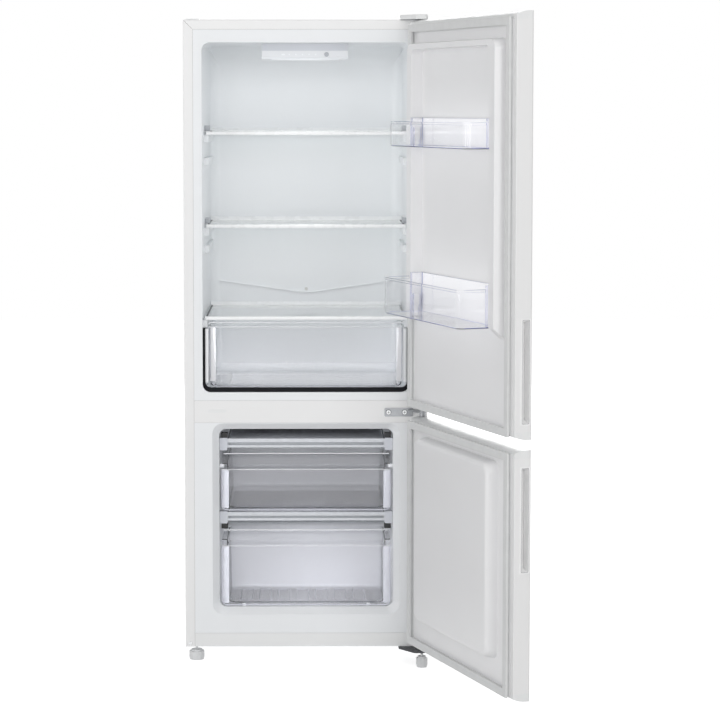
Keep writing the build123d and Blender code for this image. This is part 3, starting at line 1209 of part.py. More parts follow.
def evaporator_clips(z):
    """The plastic end clips that hold a cooling shelf off the side walls."""
    front = EVAPORATOR_FRONT - 2
    wall = FREEZER_HALF_WIDTH - FREEZER_SIDE_DRAFT * (front + CLIP_LENGTH) / FREEZER_DEPTH
    outer = wall - SEAT_GAP
    clip = block((EVAPORATOR_HALF_WIDTH - 2, outer), (front, front + CLIP_LENGTH), (z[0] + 4, z[1] + 2))
    clip = chamfer(clip.edges().filter_by(Axis.Y), CLIP_CHAMFER)
    return mirrored(clip)


def make_freezer_inside():
    clips = []
    for name, z in (("upper_evaporator", UPPER_EVAPORATOR_Z), ("lower_evaporator", LOWER_EVAPORATOR_Z)):
        tube, frame = evaporator_shelf(z)
        save(name, tube, frame)
        clips += [clip - frame for clip in evaporator_clips(z)]
    save("evaporator_clips", *clips)
    front = FREEZER_DRAWER_FRONT
    save("upper_freezer_drawer", freezer_drawer((front, front + UPPER_DRAWER_DEPTH), UPPER_DRAWER_Z))
    save("lower_freezer_drawer", freezer_drawer((front, front + LOWER_DRAWER_DEPTH), LOWER_DRAWER_Z))


# ---------------------------------------------------------------- doors
def door_plan(inset):
    """A door's plan outline, moved in by inset all round."""
    half = HALF_CABINET - inset
    y = (DOOR_OUTER + inset, DOOR_INNER - inset)
    radius = max(DOOR_EDGE_R - inset, 0.5)
    return outline([(-half, y[0], radius), (half, y[0], radius), (half, y[1], 1), (-half, y[1], 1)])


def pivot_hole(z, diameter):
    """A bore on the hinge axis for a pin of this diameter."""
    return pivot_rod(*z, diameter + 2 * PIN_CLEARANCE)


def grip_box(z, grow):
    """The grip recess's outer form, open at the door's free edge on the left."""
    y_high = DOOR_INNER - GRIP_INSET + grow
    y_low = y_high - GRIP_WIDTH - 2 * grow
    across = (-HALF_CABINET - CUT_PAST, -HALF_CABINET + GRIP_DEPTH + grow)
    return block(across, (y_low, y_high), (z[0] - grow, z[1] + grow))


def door_grip(z):
    """A plastic cup let into the door's free edge, with a thin flange over the cut in the steel."""
    cup = grip_box(z, GRIP_WALL) - grip_box(z, 0)
    door_y, any_z = (DOOR_OUTER, DOOR_INNER), (0, CABINET_TOP)
    keep = block((-HALF_CABINET, 0), door_y, any_z)
    flange = grip_box(z, GRIP_FLANGE + GRIP_WALL) - grip_box(z, 0)
    flange &= block((-HALF_CABINET - GRIP_PROUD, -HALF_CABINET), door_y, any_z)
    return (cup & keep) + flange


def door_cap(z, crown_down, pin_d):
    """A plastic end cap with a crowned outer face and the bush for the hinge pin."""
    low, high = z
    rise = -CAP_CROWN if crown_down else CAP_CROWN
    edge = low if crown_down else high
    inner = edge - rise
    base = high if crown_down else low
    flat_end = DOOR_OUTER + DOOR_EDGE_R + 1
    crown = ((DOOR_OUTER + DOOR_INNER) / 2 + 6, edge - rise * 0.28)
    profile = Sketch() + make_face([
        Line((DOOR_OUTER, base), (DOOR_INNER, base)),
        Line((DOOR_INNER, base), (DOOR_INNER, inner)),
        ThreePointArc((DOOR_INNER, inner), crown, (flat_end, edge)),
        Line((flat_end, edge), (DOOR_OUTER, edge)),
        Line((DOOR_OUTER, edge), (DOOR_OUTER, base)),
    ])
    body = along_x(profile, (-HALF_CABINET, HALF_CABINET)) & along_z(door_plan(0), z)
    return body - pivot_hole((low - CUT_PAST, high + CUT_PAST), pin_d)


def make_door(name, z, gasket_z, linings, grip_z, pins):
    """Every piece of one door, built closed and then swung open about the hinge axis.

    linings holds the raised form on the lining and the foam form behind it, pins the
    diameters of the pins in the bottom and top caps.
    """
    low, high = z
    lining, lining_back = linings
    pan_z = (low + DOOR_CAP, high - DOOR_CAP)
    shell = along_z(door_plan(0) - door_plan(SHEET), pan_z)
    opening = HALF_CABINET - DOOR_RETURN
    shell -= block((-opening, opening), (DOOR_INNER - SHEET * 2, DOOR_INNER + CUT_PAST), (low, high))
    shell -= grip_box(grip_z, GRIP_WALL)
    plate_x, plate_z = (-opening + SEAM, opening - SEAM), (pan_z[0] + SEAM, pan_z[1] - SEAM)
    plate = block(plate_x, (DOOR_INNER - LINER, DOOR_INNER), plate_z)
    liner = plate + lining - lining_back
    foam = along_z(door_plan(SHEET), pan_z) - plate - grip_box(grip_z, GRIP_WALL) + lining_back
    foam -= pivot_hole((low - CUT_PAST, pan_z[0] + 2), BOTTOM_PIN_D)
    foam -= pivot_hole((pan_z[1] - 2, high + CUT_PAST), PIN_D)
    bottom_cap = door_cap((low, low + DOOR_CAP), True, pins[0])
    top_cap = door_cap((high - DOOR_CAP, high), False, pins[1])
    pieces = {
        "panel": shell,
        "foam": foam,
        "liner": liner,
        "gasket": gasket(gasket_z),
        "bottom_cap": bottom_cap,
        "top_cap": top_cap,
        "grip": door_grip(grip_z),
    }
    for piece, shape in pieces.items():
        save(f"{name}_{piece}", swing(shape))


def swing(shape):
    """Turn a piece from the closed place to the open one, about the hinge axis."""
    return shape.rotate(Axis((PIVOT_X, PIVOT_Y, 0), (0, 0, 1)), DOOR_OPEN_ANGLE)


def gasket(z):
    """The magnetic seal: a foot on the lining, a narrow neck and a wide face towards the cabinet."""
    half = PIVOT_X - 0.3
    layers = (
        (0.0, 3.0, 2.0),
        (2.8, 7.2, 5.0),
        (7.0, DOOR_GAP - GASKET_CLEARANCE, 0.0),
    )
    ring = None
    for low, high, inset in layers:
        outside = rectangle((-half + inset, half - inset), (z[0] + inset, z[1] - inset))
        width = GASKET_WIDTH - inset
        inside = rectangle((-half + width, half - width), (z[0] + width, z[1] - width))
        layer = along_y(outside - inside, (DOOR_INNER + low, DOOR_INNER + high))
        ring = layer if ring is None else ring + layer
    return ring


def upper_lining(shrink):
    """The upper door's two ribs and their bridge, or the foam form behind them when shrunk."""
    half = RIB_OUTER_HALF - shrink
    rise = RIB_HEIGHT - shrink
    y = (DOOR_INNER - LINER / 2 - shrink, DOOR_INNER + rise)
    top = RIB_TOP - shrink
    bottom = RIB_BOTTOM - RIB_TAIL
    outer_low = rectangle((-half, half), (bottom, top), 24)
    crest = half - RIB_DRAFT
    outer_high = rectangle((-crest, crest), (bottom, top - RIB_DRAFT), 21)
    gap = RIB_GAP_HALF + shrink
    gap_low = gap - RIB_INNER_DRAFT
    inner_top = RIB_TOP_CREST + shrink
    pocket_low = rectangle((-gap_low, gap_low), (bottom - 40, inner_top - RIB_INNER_DRAFT), 14)
    pocket_high = rectangle((-gap, gap), (bottom - 40, inner_top), 20)
    form = tapered_y(outer_low, outer_high, y) - tapered_y(pocket_low, pocket_high, y)
    ramp = outline([
        (DOOR_INNER - LINER * 2, bottom - CUT_PAST, 0),
        (DOOR_INNER + rise + 5, bottom - CUT_PAST, 0),
        (DOOR_INNER + rise + 5, RIB_BOTTOM + shrink + (rise + 5) * RIB_RAMP / RIB_HEIGHT, 0),
        (DOOR_INNER, RIB_BOTTOM + shrink, 0),
        (DOOR_INNER - LINER * 2, RIB_BOTTOM + shrink, 0),
    ])
    return form - along_x(ramp, (-HALF_CABINET, HALF_CABINET))


def lower_lining(shrink):
    """The lower door's raised plug, or the foam form behind it when shrunk."""
    half = PLUG_HALF_WIDTH - shrink
    low, high = PLUG_BOTTOM + shrink, PLUG_TOP - shrink
    start = DOOR_INNER - LINER / 2 - shrink
    crest = DOOR_INNER + PLUG_HEIGHT - shrink
    lean = PLUG_DRAFT / PLUG_HEIGHT
    outlines = []
    for step_in, step_down in round_steps(PLUG_ROUND - shrink) + [(0.0, crest - start)]:
        level = crest - step_down
        reach = (level - start) * lean + step_in
        across, upright = (-half + reach, half - reach), (low + reach, high - reach)
        outlines.append(FRONT.offset(-level) * rectangle(across, upright, PLUG_CORNER_R - shrink))
    return loft(outlines, ruled=True)


def bin_lugs(bin_z):
    """The hooks on the ribs' inner flanks that a bin hangs on."""
    top = lug_top(bin_z)
    y = (DOOR_INNER + LUG_FORWARD, DOOR_INNER + LUG_FORWARD + LUG_WIDTH)
    across = (BIN_HALF_WIDTH - LUG_REACH + LUG_CLEARANCE, RIB_GAP_HALF + RIB_DRAFT)
    return mirrored(block(across, y, (top - LUG_LENGTH, top)))


def lug_top(bin_z):
    return bin_z[0] + LUG_RISE


def door_bin(depth, z):
    """A clear bin: rounded tub, thick rim, and an end cheek each side with a slot that drops over a lug."""
    half = BIN_HALF_WIDTH
    back, front = DOOR_INNER + BIN_SEAT, DOOR_INNER + depth + 2
    high = z[1] + BIN_BACK_RISE

    def form(inset, low, top):
        plan = outline([
            (-half + inset, back + inset, BIN_BACK_R),
            (half - inset, back + inset, BIN_BACK_R),
            (half - inset, front - inset, BIN_CORNER_R),
            (-half + inset, front - inset, BIN_CORNER_R),
        ])
        return along_z(plan, (low, top))

    outer = form(0, z[0], high)
    bottom_edges = outer.faces().sort_by(Axis.Z)[0].edges().filter_by(lambda e: e.center().Y > back + 1)
    outer = fillet(bottom_edges, BIN_BOTTOM_R)
    tub = outer - form(BIN_WALL, z[0] + BIN_WALL, high + CUT_PAST)
    cheek_end = back + BIN_CHEEK_DEPTH
    rim = form(-BIN_RIM_PROUD, z[1] - BIN_RIM_HEIGHT, z[1])
    rim -= form(BIN_RIM - BIN_RIM_PROUD, 0, high + CUT_PAST)
    rim &= block((-half, half), (cheek_end + 4, front + CUT_PAST), (0, high))
    slope = outline([
        (cheek_end, high + CUT_PAST, 0),
        (cheek_end + 4, z[1] + 1.0, 0),
        (front + 5, z[1], 0),
        (front + 5, high + CUT_PAST, 0),
    ])
    tub = tub + rim - along_x(slope, (-half - 5, half + 5))
    cheek = block((half - BIN_CHEEK, half), (back, cheek_end), (z[0] + 2, high))
    lug_y = DOOR_INNER + LUG_FORWARD
    slot_y = (lug_y - LUG_CLEARANCE, lug_y + LUG_WIDTH + LUG_CLEARANCE)
    slot = block((half - LUG_REACH, half + 5), slot_y, (z[0] - 5, lug_top(z) + SEAT_GAP))
    for side in mirrored(cheek):
        tub += side
    for cut in mirrored(slot):
        tub -= cut
    return tub


def make_doors():
    upper_gasket = (UPPER_DOOR_BOTTOM + GASKET_BOTTOM_INSET, UPPER_DOOR_TOP - GASKET_TOP_INSET)
    lower_gasket = (LOWER_DOOR_BOTTOM + GASKET_LOW_INSET, LOWER_DOOR_TOP - GASKET_MID_INSET)
    ribs = upper_lining(0)
    for bin_z in (UPPER_BIN_Z, LOWER_BIN_Z):
        for lug in bin_lugs(bin_z):
            ribs += lug
    upper_z, lower_z = (UPPER_DOOR_BOTTOM, UPPER_DOOR_TOP), (LOWER_DOOR_BOTTOM, LOWER_DOOR_TOP)
    make_door("upper_door", upper_z, upper_gasket, (ribs, upper_lining(LINER)), UPPER_GRIP, (PIN_D, PIN_D))
    plug = (lower_lining(0), lower_lining(LINER))
    make_door("lower_door", lower_z, lower_gasket, plug, LOWER_GRIP, (BOTTOM_PIN_D, PIN_D))
    save("upper_bin", swing(door_bin(UPPER_BIN_DEPTH, UPPER_BIN_Z)))
    save("lower_bin", swing(door_bin(LOWER_BIN_DEPTH, LOWER_BIN_Z)))


os.makedirs("parts", exist_ok=True)
make_cabinet()
make_machinery()
make_hinges()
make_feet()
make_fridge_inside()
make_freezer_inside()
make_doors()
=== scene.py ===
"""Looks of an upright refrigerator with a fridge above a freezer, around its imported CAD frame.

Every length is in metres unless its name ends in _mm. X runs to the viewer's right, Y into the
cabinet and Z up, with the origin on the floor under the middle of the cabinet's front face.
"""

import json
import logging
import math
from dataclasses import dataclass, replace
from enum import Enum

import bmesh
import bpy
from mathutils import Matrix, Vector
from mathutils.bvhtree import BVHTree

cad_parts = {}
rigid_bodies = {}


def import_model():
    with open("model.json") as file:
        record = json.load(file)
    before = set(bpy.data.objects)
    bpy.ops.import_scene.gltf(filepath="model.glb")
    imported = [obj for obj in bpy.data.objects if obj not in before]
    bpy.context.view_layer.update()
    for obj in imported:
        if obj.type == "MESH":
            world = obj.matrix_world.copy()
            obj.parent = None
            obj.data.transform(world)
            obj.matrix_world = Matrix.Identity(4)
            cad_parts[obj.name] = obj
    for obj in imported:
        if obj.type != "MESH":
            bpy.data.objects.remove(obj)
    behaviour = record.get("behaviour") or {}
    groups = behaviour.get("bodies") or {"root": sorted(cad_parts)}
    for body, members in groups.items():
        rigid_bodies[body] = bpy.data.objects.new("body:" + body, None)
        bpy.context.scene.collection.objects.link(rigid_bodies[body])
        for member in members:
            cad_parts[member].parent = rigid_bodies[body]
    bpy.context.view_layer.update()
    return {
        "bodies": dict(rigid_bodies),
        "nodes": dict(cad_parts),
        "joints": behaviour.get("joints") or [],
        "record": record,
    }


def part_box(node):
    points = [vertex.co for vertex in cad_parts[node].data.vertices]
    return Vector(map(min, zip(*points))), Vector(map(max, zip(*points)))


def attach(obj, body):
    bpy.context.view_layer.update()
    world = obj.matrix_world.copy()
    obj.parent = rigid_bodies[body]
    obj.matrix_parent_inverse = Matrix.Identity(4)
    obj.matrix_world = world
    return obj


LOG = logging.getLogger("refrigerator")
MM = 0.001

Tree = bpy.types.NodeTree
Socket = bpy.types.NodeSocket
Piece = bpy.types.Object
Span = tuple[float, float]
Point = tuple[float, float, float]

# The part of a noise's range that it fills, the least roughness, the roughness of a coat over an
# opaque and over a clear finish, and how far light sinks into a milky plastic.
NOISE_SPAN = (0.3, 0.7)
LEAST_ROUGHNESS = 0.02
COAT_ROUGHNESS = 0.12
CLEAR_COAT_ROUGHNESS = 0.04
SUBSURFACE_REACH = 0.004

# Where a ray starts in front of a face, when two corners are one, when two faces lie flat, when an
# edge is crisp or shades sharp, and the sides of a fine line.
RAY_START = 0.1
SAME_PLACE = 1e-6
FLAT_ANGLE = math.radians(2)
CRISP_ANGLE = math.radians(50)
SHARP_ANGLE = math.radians(40)
LINE_SIDES = 6


# ---- colours and nodes
def linear(hex_code: str) -> tuple[float, float, float, float]:
    """Turn an sRGB hex colour into the linear values that Blender's sockets take.

    Args:
        hex_code: Six hex digits after a hash sign.

    Returns:
        Linear red, green, blue and an alpha of 1.
    """
    values = [int(hex_code[i:i + 2], 16) / 255 for i in (1, 3, 5)]
    red, green, blue = (v / 12.92 if v <= 0.04045 else ((v + 0.055) / 1.055) ** 2.4 for v in values)
    return red, green, blue, 1.0


def add_node(
    tree: Tree,
    kind: str,
    settings: dict | None = None,
    inputs: dict | None = None,
) -> bpy.types.Node:
    """Add one node with its settings, its sockets' values and its links.

    Args:
        tree: The node tree that takes the node.
        kind: The node's type name, without the word that says which editor it is for.
        settings: Attribute names and values of the node itself.
        inputs: Socket names or numbers, each with a value, or with an output socket to link.

    Returns:
        The new node.
    """
    node = tree.nodes.new("ShaderNode" + kind)
    for key, value in (settings or {}).items():
        setattr(node, key, value)
    for key, value in (inputs or {}).items():
        if isinstance(value, Socket):
            tree.links.new(value, node.inputs[key])
        else:
            node.inputs[key].default_value = value
    return node


def bare_tree(owner: bpy.types.Material | bpy.types.World) -> Tree:
    """The node tree of a material or of the world, emptied.

    Args:
        owner: The material or world.

    Returns:
        Its node tree.
    """
    owner.use_nodes = True
    owner.node_tree.nodes.clear()
    return owner.node_tree


def new_object(name: str, data: bpy.types.ID) -> Piece:
    """An object of a mesh, curve, lamp or camera, put in the scene.

    Args:
        name: The object's name.
        data: What it shows or holds.

    Returns:
        The new object.
    """
    made = bpy.data.objects.new(name, data)
    bpy.context.scene.collection.objects.link(made)
    return made


# ---- finishes
@dataclass(frozen=True)
class Finish:
    """A material: its colour and gloss, and the fine unevenness its making leaves on it."""

    name: str
    colour: str
    roughness: float
    metallic: float = 0.0
    ior: float = 1.5
    coat: float = 0.0
    sheen: float = 0.0
    subsurface: float = 0.0
    mottle: float = 0.03
    mottle_mm: float = 60.0
    gloss_change: float = 0.05
    gloss_mm: float = 25.0
    bump_mm: float = 0.0
    bump_size_mm: float = 1.0

    def build(self) -> bpy.types.Material:
        """Make the material, or return it where it was made before.

        Returns:
            The material.
        """
        made = bpy.data.materials.get(self.name)
        if made:
            return made
        material = bpy.data.materials.new(self.name)
        tree = bare_tree(material)
        place = add_node(tree, "TexCoord").outputs["Object"]
        outputs = {"Surface": self.shader(tree, place)}
        inside = self.inside(tree)
        if inside:
            outputs["Volume"] = inside
        add_node(tree, "OutputMaterial", inputs=outputs)
        return material

    def inside(self, tree: Tree) -> Socket | None:
        """What light meets below the surface; nothing for an opaque finish."""
        return None

    def noise(self, tree: Tree, place: Socket, size_mm: float, detail: float = 2.0) -> Socket:
        """A noise from 0 to 1 whose patches are about size_mm across.

        Args:
            tree: The node tree that takes the nodes.
            place: The socket that gives a point of the piece.
            size_mm: How wide a patch is.
            detail: How much finer unevenness it has.

        Returns:
            The noise's socket.
        """
        node = add_node(tree, "TexNoise", inputs={
            "Vector": place, "Scale": 1.0 / (size_mm * MM), "Detail": detail,
        })
        return node.outputs["Fac"]

    def colour_socket(self, tree: Tree, place: Socket) -> Socket:
        """The base colour, a little darker and lighter in soft patches.

        Args:
            tree: The node tree that takes the nodes.
            place: The socket that gives a point of the piece.

        Returns:
            The colour's socket.
        """
        base = Vector(linear(self.colour)[:3])
        patches = self.noise(tree, place, self.mottle_mm)
        ramp = add_node(tree, "ValToRGB", inputs={"Fac": patches})
        low, high = ramp.color_ramp.elements
        low.position, high.position = NOISE_SPAN
        low.color = (*(base * (1 - self.mottle)), 1.0)
        high.color = (*base, 1.0)
        return ramp.outputs["Color"]

    def gloss_socket(self, tree: Tree, place: Socket) -> Socket:
        """The roughness, with faint smears of hand and mould.

        Args:
            tree: The node tree that takes the nodes.
            place: The socket that gives a point of the piece.

        Returns:
            The roughness's socket.
        """
        smears = self.noise(tree, place, self.gloss_mm, 4.0)
        spread = add_node(tree, "MapRange", inputs={
            "Value": smears,
            "From Min": NOISE_SPAN[0],
            "From Max": NOISE_SPAN[1],
            "To Min": max(self.roughness - self.gloss_change, LEAST_ROUGHNESS),
            "To Max": min(self.roughness + self.gloss_change, 1.0),
        })
        return spread.outputs["Result"]

    def normal_socket(self, tree: Tree, place: Socket) -> Socket | None:
        """The surface's fine bumps, or nothing where it is smooth.

        Args:
            tree: The node tree that takes the nodes.
            place: The socket that gives a point of the piece.

        Returns:
            The normal's socket, or None.
        """
        if not self.bump_mm:
            return None
        height = self.noise(tree, place, self.bump_size_mm, 3.0)
        bump = add_node(tree, "Bump", inputs={
            "Height": height, "Distance": self.bump_mm * MM, "Strength": 1.0,
        })
        return bump.outputs["Normal"]

    def shader(self, tree: Tree, place: Socket) -> Socket:
        """The principled shader with this finish's values and patterns.

        Args:
            tree: The node tree that takes the nodes.
            place: The socket that gives a point of the piece.

        Returns:
            The shader's socket.
        """
        inputs = {
            "Base Color": self.colour_socket(tree, place),
            "Roughness": self.gloss_socket(tree, place),
            "Metallic": self.metallic,
            "IOR": self.ior,
            "Coat Weight": self.coat,
            "Coat Roughness": COAT_ROUGHNESS,
            "Sheen Weight": self.sheen,
        }
        if self.subsurface:
            inputs["Subsurface Weight"] = self.subsurface
            inputs["Subsurface Radius"] = (SUBSURFACE_REACH,) * 3
            inputs["Subsurface Scale"] = 1.0
        normal = self.normal_socket(tree, place)
        if normal:
            inputs["Normal"] = normal
        return add_node(tree, "BsdfPrincipled", inputs=inputs).outputs["BSDF"]


@dataclass(frozen=True)
class SpangledZinc(Finish):
    """Hot-dip galvanised sheet: the zinc freezes into flat crystals that each catch the light."""

    spangle_mm: float = 9.0

    def colour_socket(self, tree: Tree, place: Socket) -> Socket:
        """Grey crystals of slightly different tones.

        Args:
            tree: The node tree that takes the nodes.
            place: The socket that gives a point of the piece.

        Returns:
            The colour's socket.
        """
        scale = 1.0 / (self.spangle_mm * MM)
        cells = add_node(tree, "TexVoronoi", inputs={"Vector": place, "Scale": scale})
        tone = add_node(tree, "RGBToBW", inputs={"Color": cells.outputs["Color"]})
        ramp = add_node(tree, "ValToRGB", inputs={"Fac": tone.outputs["Val"]})
        base = Vector(linear(self.colour)[:3])
        ramp.color_ramp.elements[0].color = (*(base * (1 - self.mottle)), 1.0)
        ramp.color_ramp.elements[1].color = (*base, 1.0)
        return ramp.outputs["Color"]


@dataclass(frozen=True)
class ClearPlate(Finish):
    """A see-through material: light refracts in it, and its shadow stays pale."""

    shadow: str = "#F2F4F8"
    depth: str = "#FFFFFF"
    depth_density: float = 0.0

    def shader(self, tree: Tree, place: Socket) -> Socket:
        """A refracting shader that lets lamp light through to what lies behind it.

        Args:
            tree: The node tree that takes the nodes.
            place: The socket that gives a point of the piece.

        Returns:
            The shader's socket.
        """
        inputs = {
            "Base Color": linear(self.colour),
            "Roughness": self.gloss_socket(tree, place),
            "IOR": self.ior,
            "Transmission Weight": 1.0,
            "Coat Weight": self.coat,
            "Coat Roughness": CLEAR_COAT_ROUGHNESS,
        }
        normal = self.normal_socket(tree, place)
        if normal:
            inputs["Normal"] = normal
        clear = add_node(tree, "BsdfPrincipled", inputs=inputs)
        pale = add_node(tree, "BsdfTransparent", inputs={"Color": linear(self.shadow)})
        path = add_node(tree, "LightPath")
        mix = add_node(tree, "MixShader", inputs={
            0: path.outputs["Is Shadow Ray"], 1: clear.outputs["BSDF"], 2: pale.outputs["BSDF"],
        })
        return mix.outputs["Shader"]

    def inside(self, tree: Tree) -> Socket | None:
        """A tint that shows where the eye looks a long way through, as along an edge.

        Args:
            tree: The node tree that takes the nodes.

        Returns:
            The volume's socket, or None where the finish has no tint.
        """
        if not self.depth_density:
            return None
        tint = add_node(tree, "VolumeAbsorption", inputs={
            "Color": linear(self.depth), "Density": self.depth_density,
        })
        return tint.outputs["Volume"]


@dataclass(frozen=True)
class TwoTone(Finish):
    """A finish that changes to a second colour past a level along one axis."""

    # The default second colour is a dark grey, used as the cooling tubes' painted shade.
    beyond: str = "#8C8E94"
    axis: str = "Y"
    level: float = 0.0
    blend: float = 0.001

    def colour_socket(self, tree: Tree, place: Socket) -> Socket:
        """The first colour with its patches, changing to the second at the level.

        Args:
            tree: The node tree that takes the nodes.
            place: The socket that gives a point of the piece.

        Returns:
            The colour's socket.
        """
        split = add_node(tree, "SeparateXYZ", inputs={"Vector": place})
        past = add_node(tree, "MapRange", inputs={
            "Value": split.outputs[self.axis],
            "From Min": self.level,
            "From Max": self.level + self.blend,
        })
        mix = add_node(tree, "Mix", {"data_type": "RGBA"}, {
            "Factor": past.outputs["Result"],
            "A": super().colour_socket(tree, place),
            "B": linear(self.beyond),
        })
        return next(socket for socket in mix.outputs if socket.type == "RGBA")


# Prepainted steel: coil-coated polyester enamel over zinc, satin, with barely seen orange peel.
PAINTED_STEEL = Finish(
    "prepainted_white_steel", "#F0F0F0", 0.34, coat=0.1, mottle=0.008, mottle_mm=200,
    gloss_change=0.02, gloss_mm=90, bump_mm=0.004, bump_size_mm=1.4,
)
# High-impact polystyrene, drawn over a mould: cool white, satin, soft smears where it stretched.
LINING = Finish(
    "thermoformed_polystyrene_lining", "#F0F2F4", 0.36, mottle=0.01, mottle_mm=160,
    gloss_change=0.04, gloss_mm=80, bump_mm=0.008, bump_size_mm=3.0,
)
# The same sheet on the doors, warmer in tone: a painted tint of the room's light.
DOOR_LINING_PAINTED_LIGHT = replace(
    LINING, name="thermoformed_polystyrene_door_painted_light", colour="#F0F0F1", roughness=0.4,
)
# ABS, injection moulded in a fine-sparked tool: even and slightly matt.
WHITE_ABS = Finish(
    "moulded_white_abs", "#EDEEEE", 0.36, ior=1.54, mottle=0.01, bump_mm=0.01, bump_size_mm=0.8,
)
# The same resin in the grips' cups, from a coarser spark and so a touch more matt; its brighter
# white is painted light against the shade in the cup.
GRIP_ABS_PAINTED_LIGHT = Finish(
    "moulded_grip_abs_painted_light", "#F8F8F8", 0.42, ior=1.54, mottle=0.02, bump_mm=0.015, bump_size_mm=0.9,
)
# The cup's rolled rim: its grey line is a painted shadow round the cup's mouth.
GRIP_SHADOW_LINE = Finish(
    "moulded_grip_rim_painted_shadow", "#B9BABC", 0.45, ior=1.54, mottle=0.06, mottle_mm=10, bump_mm=0.01,
    bump_size_mm=0.8,
)
# The control panel: cool white, with its upper part greyer past a level in Z, a painted shade like
# the ceiling's shade over it.
PANEL_ABS_PAINTED_SHADE = TwoTone(
    "moulded_panel_abs_painted_shade", "#E9EBEE", 0.4, ior=1.54, mottle=0.015, bump_mm=0.012, bump_size_mm=0.8,
    beyond="#D3D6DC", axis="Z", level=1.5072, blend=0.0006,
)
# The push button, through-coloured grey so that it shows on the panel.
BUTTON_ABS = Finish(
    "moulded_button_abs", "#B7BAC0", 0.45, ior=1.54, mottle=0.02, bump_mm=0.01, bump_size_mm=0.6,
)
# Soft PVC bellows, extruded and welded: matt, dust sits on it.
SEAL_PVC = Finish(
    "extruded_seal_pvc", "#DFE0E0", 0.62, ior=1.53, sheen=0.1, mottle=0.05, mottle_mm=30,
    bump_mm=0.03, bump_size_mm=2.0,
)
# Rigid polyurethane foam, blown in place: its colour is darkened as a painted shade, the shade of
# the seams where it shows.
FOAM_PAINTED_SHADE = Finish(
    "blown_polyurethane_foam_painted_shade", "#7B7568", 0.95, ior=1.4, mottle=0.1, mottle_mm=12, bump_mm=0.3,
    bump_size_mm=1.2,
)
# Bare galvanised sheet at the back: dull silver in flat crystals.
GALVANISED = SpangledZinc(
    "galvanised_sheet", "#B9BCBE", 0.42, metallic=0.85, mottle=0.22, gloss_change=0.08, gloss_mm=9,
)
# Bright zinc plating on pressed steel: a fine clean metal with a slight satin grain.
ZINC_PLATE = Finish(
    "bright_zinc_plate", "#9EA0A3", 0.36, metallic=1.0, mottle=0.1, mottle_mm=6, gloss_change=0.08,
    gloss_mm=4, bump_mm=0.01, bump_size_mm=0.6,
)
# Phosphated and oiled steel: charcoal, dull, with a faint metal sheen.
# It also serves as painted shade round and on the middle hinge's screw heads.
DARK_STEEL = Finish(
    "dark_phosphated_steel", "#4A4B4E", 0.45, metallic=0.6, mottle=0.12, mottle_mm=8, bump_mm=0.02,
    bump_size_mm=0.8,
)
# Toughened float glass: clear, faintly green where the eye looks along the sheet.
FLOAT_GLASS = ClearPlate(
    "toughened_float_glass", "#FFFFFF", 0.03, ior=1.45, coat=0.3, gloss_change=0.01,
    shadow="#FBFDFD", depth="#A9D6CC", depth_density=8.0,
)
# General-purpose polystyrene, injection moulded in thin walls: water clear, its edges violet. Its
# index is far under the resin's own, which turned the edges black, and the coat gives it its gloss.
CRYSTAL_PLASTIC = ClearPlate(
    "crystal_polystyrene", "#FFFFFF", 0.05, ior=1.13, coat=0.42, gloss_change=0.02,
    shadow="#FCFCFE", bump_mm=0.005, bump_size_mm=8.0, depth="#A4A9E0", depth_density=3.0,
)
# The same in the cold room, a little smoked by frost and handling.
DRAWER_PLASTIC = ClearPlate(
    "crystal_polystyrene_drawer", "#FDFDFE", 0.07, ior=1.13, coat=0.42, gloss_change=0.03,
    shadow="#FAFAFB", bump_mm=0.008, bump_size_mm=6.0, depth="#A6A7C2", depth_density=6.0,
)
# Polystyrene nose strips: glossy, and light sinks a little way in.
SHELF_TRIM = Finish(
    "moulded_shelf_trim", "#FAFBFC", 0.28, ior=1.54, coat=0.3, subsurface=0.15, mottle=0.01,
    gloss_change=0.04,
)
# Extruded PVC round the crisper's mouth: near black and matt.
DARK_TRIM = Finish(
    "extruded_dark_trim", "#07080E", 0.66, ior=1.3, mottle=0.1, bump_mm=0.01, bump_size_mm=1.0,
)
# Opal polycarbonate: milky, so that a lamp behind it spreads.
LIGHT_WINDOW = Finish(
    "milky_light_window", "#F6F8FB", 0.3, subsurface=0.3, mottle=0.01,
)
# Steel tube and bars dipped in white epoxy powder, with a thin bloom of frost dust. Past 43 mm into
# the cabinet the tubes turn dark grey, a painted shade of the dark freezer behind them.
EVAPORATOR_PAINTED_SHADE = TwoTone(
    "powder_coated_tube_painted_shade", "#DEE1E6", 0.4, mottle=0.08, mottle_mm=15, bump_mm=0.03, bump_size_mm=1.0,
    level=0.043, blend=0.004,
)
# Polypropylene clips: pale grey and waxy.
CLIP_PLASTIC = Finish(
    "moulded_clip_polypropylene", "#D4D7DE", 0.45, ior=1.49, mottle=0.03, bump_mm=0.01,
    bump_size_mm=0.7,
)
# Polyethylene hose: off-white, soft and dull.
PIPE_PLASTIC = Finish("extruded_drain_polyethylene", "#D8D8D6", 0.5, ior=1.51, mottle=0.04)
# Dipped black enamel over pressed steel: glossy, with runs and dust.
BLACK_ENAMEL = Finish(
    "black_enamel_can", "#17181A", 0.28, coat=0.3, mottle=0.15, mottle_mm=30, bump_mm=0.03,
    bump_size_mm=3.0,
)
# Moulded rubber: black, with the bloom of age.
BLACK_RUBBER = Finish(
    "moulded_black_rubber", "#141414", 0.8, ior=1.52, sheen=0.15, mottle=0.15, bump_mm=0.03,
    bump_size_mm=0.8,
)
# Moulded polypropylene: black and slightly waxy.
BLACK_PLASTIC = Finish(
    "moulded_black_polypropylene", "#1D1E20", 0.5, ior=1.49, mottle=0.1, bump_mm=0.02,
    bump_size_mm=0.8,
)
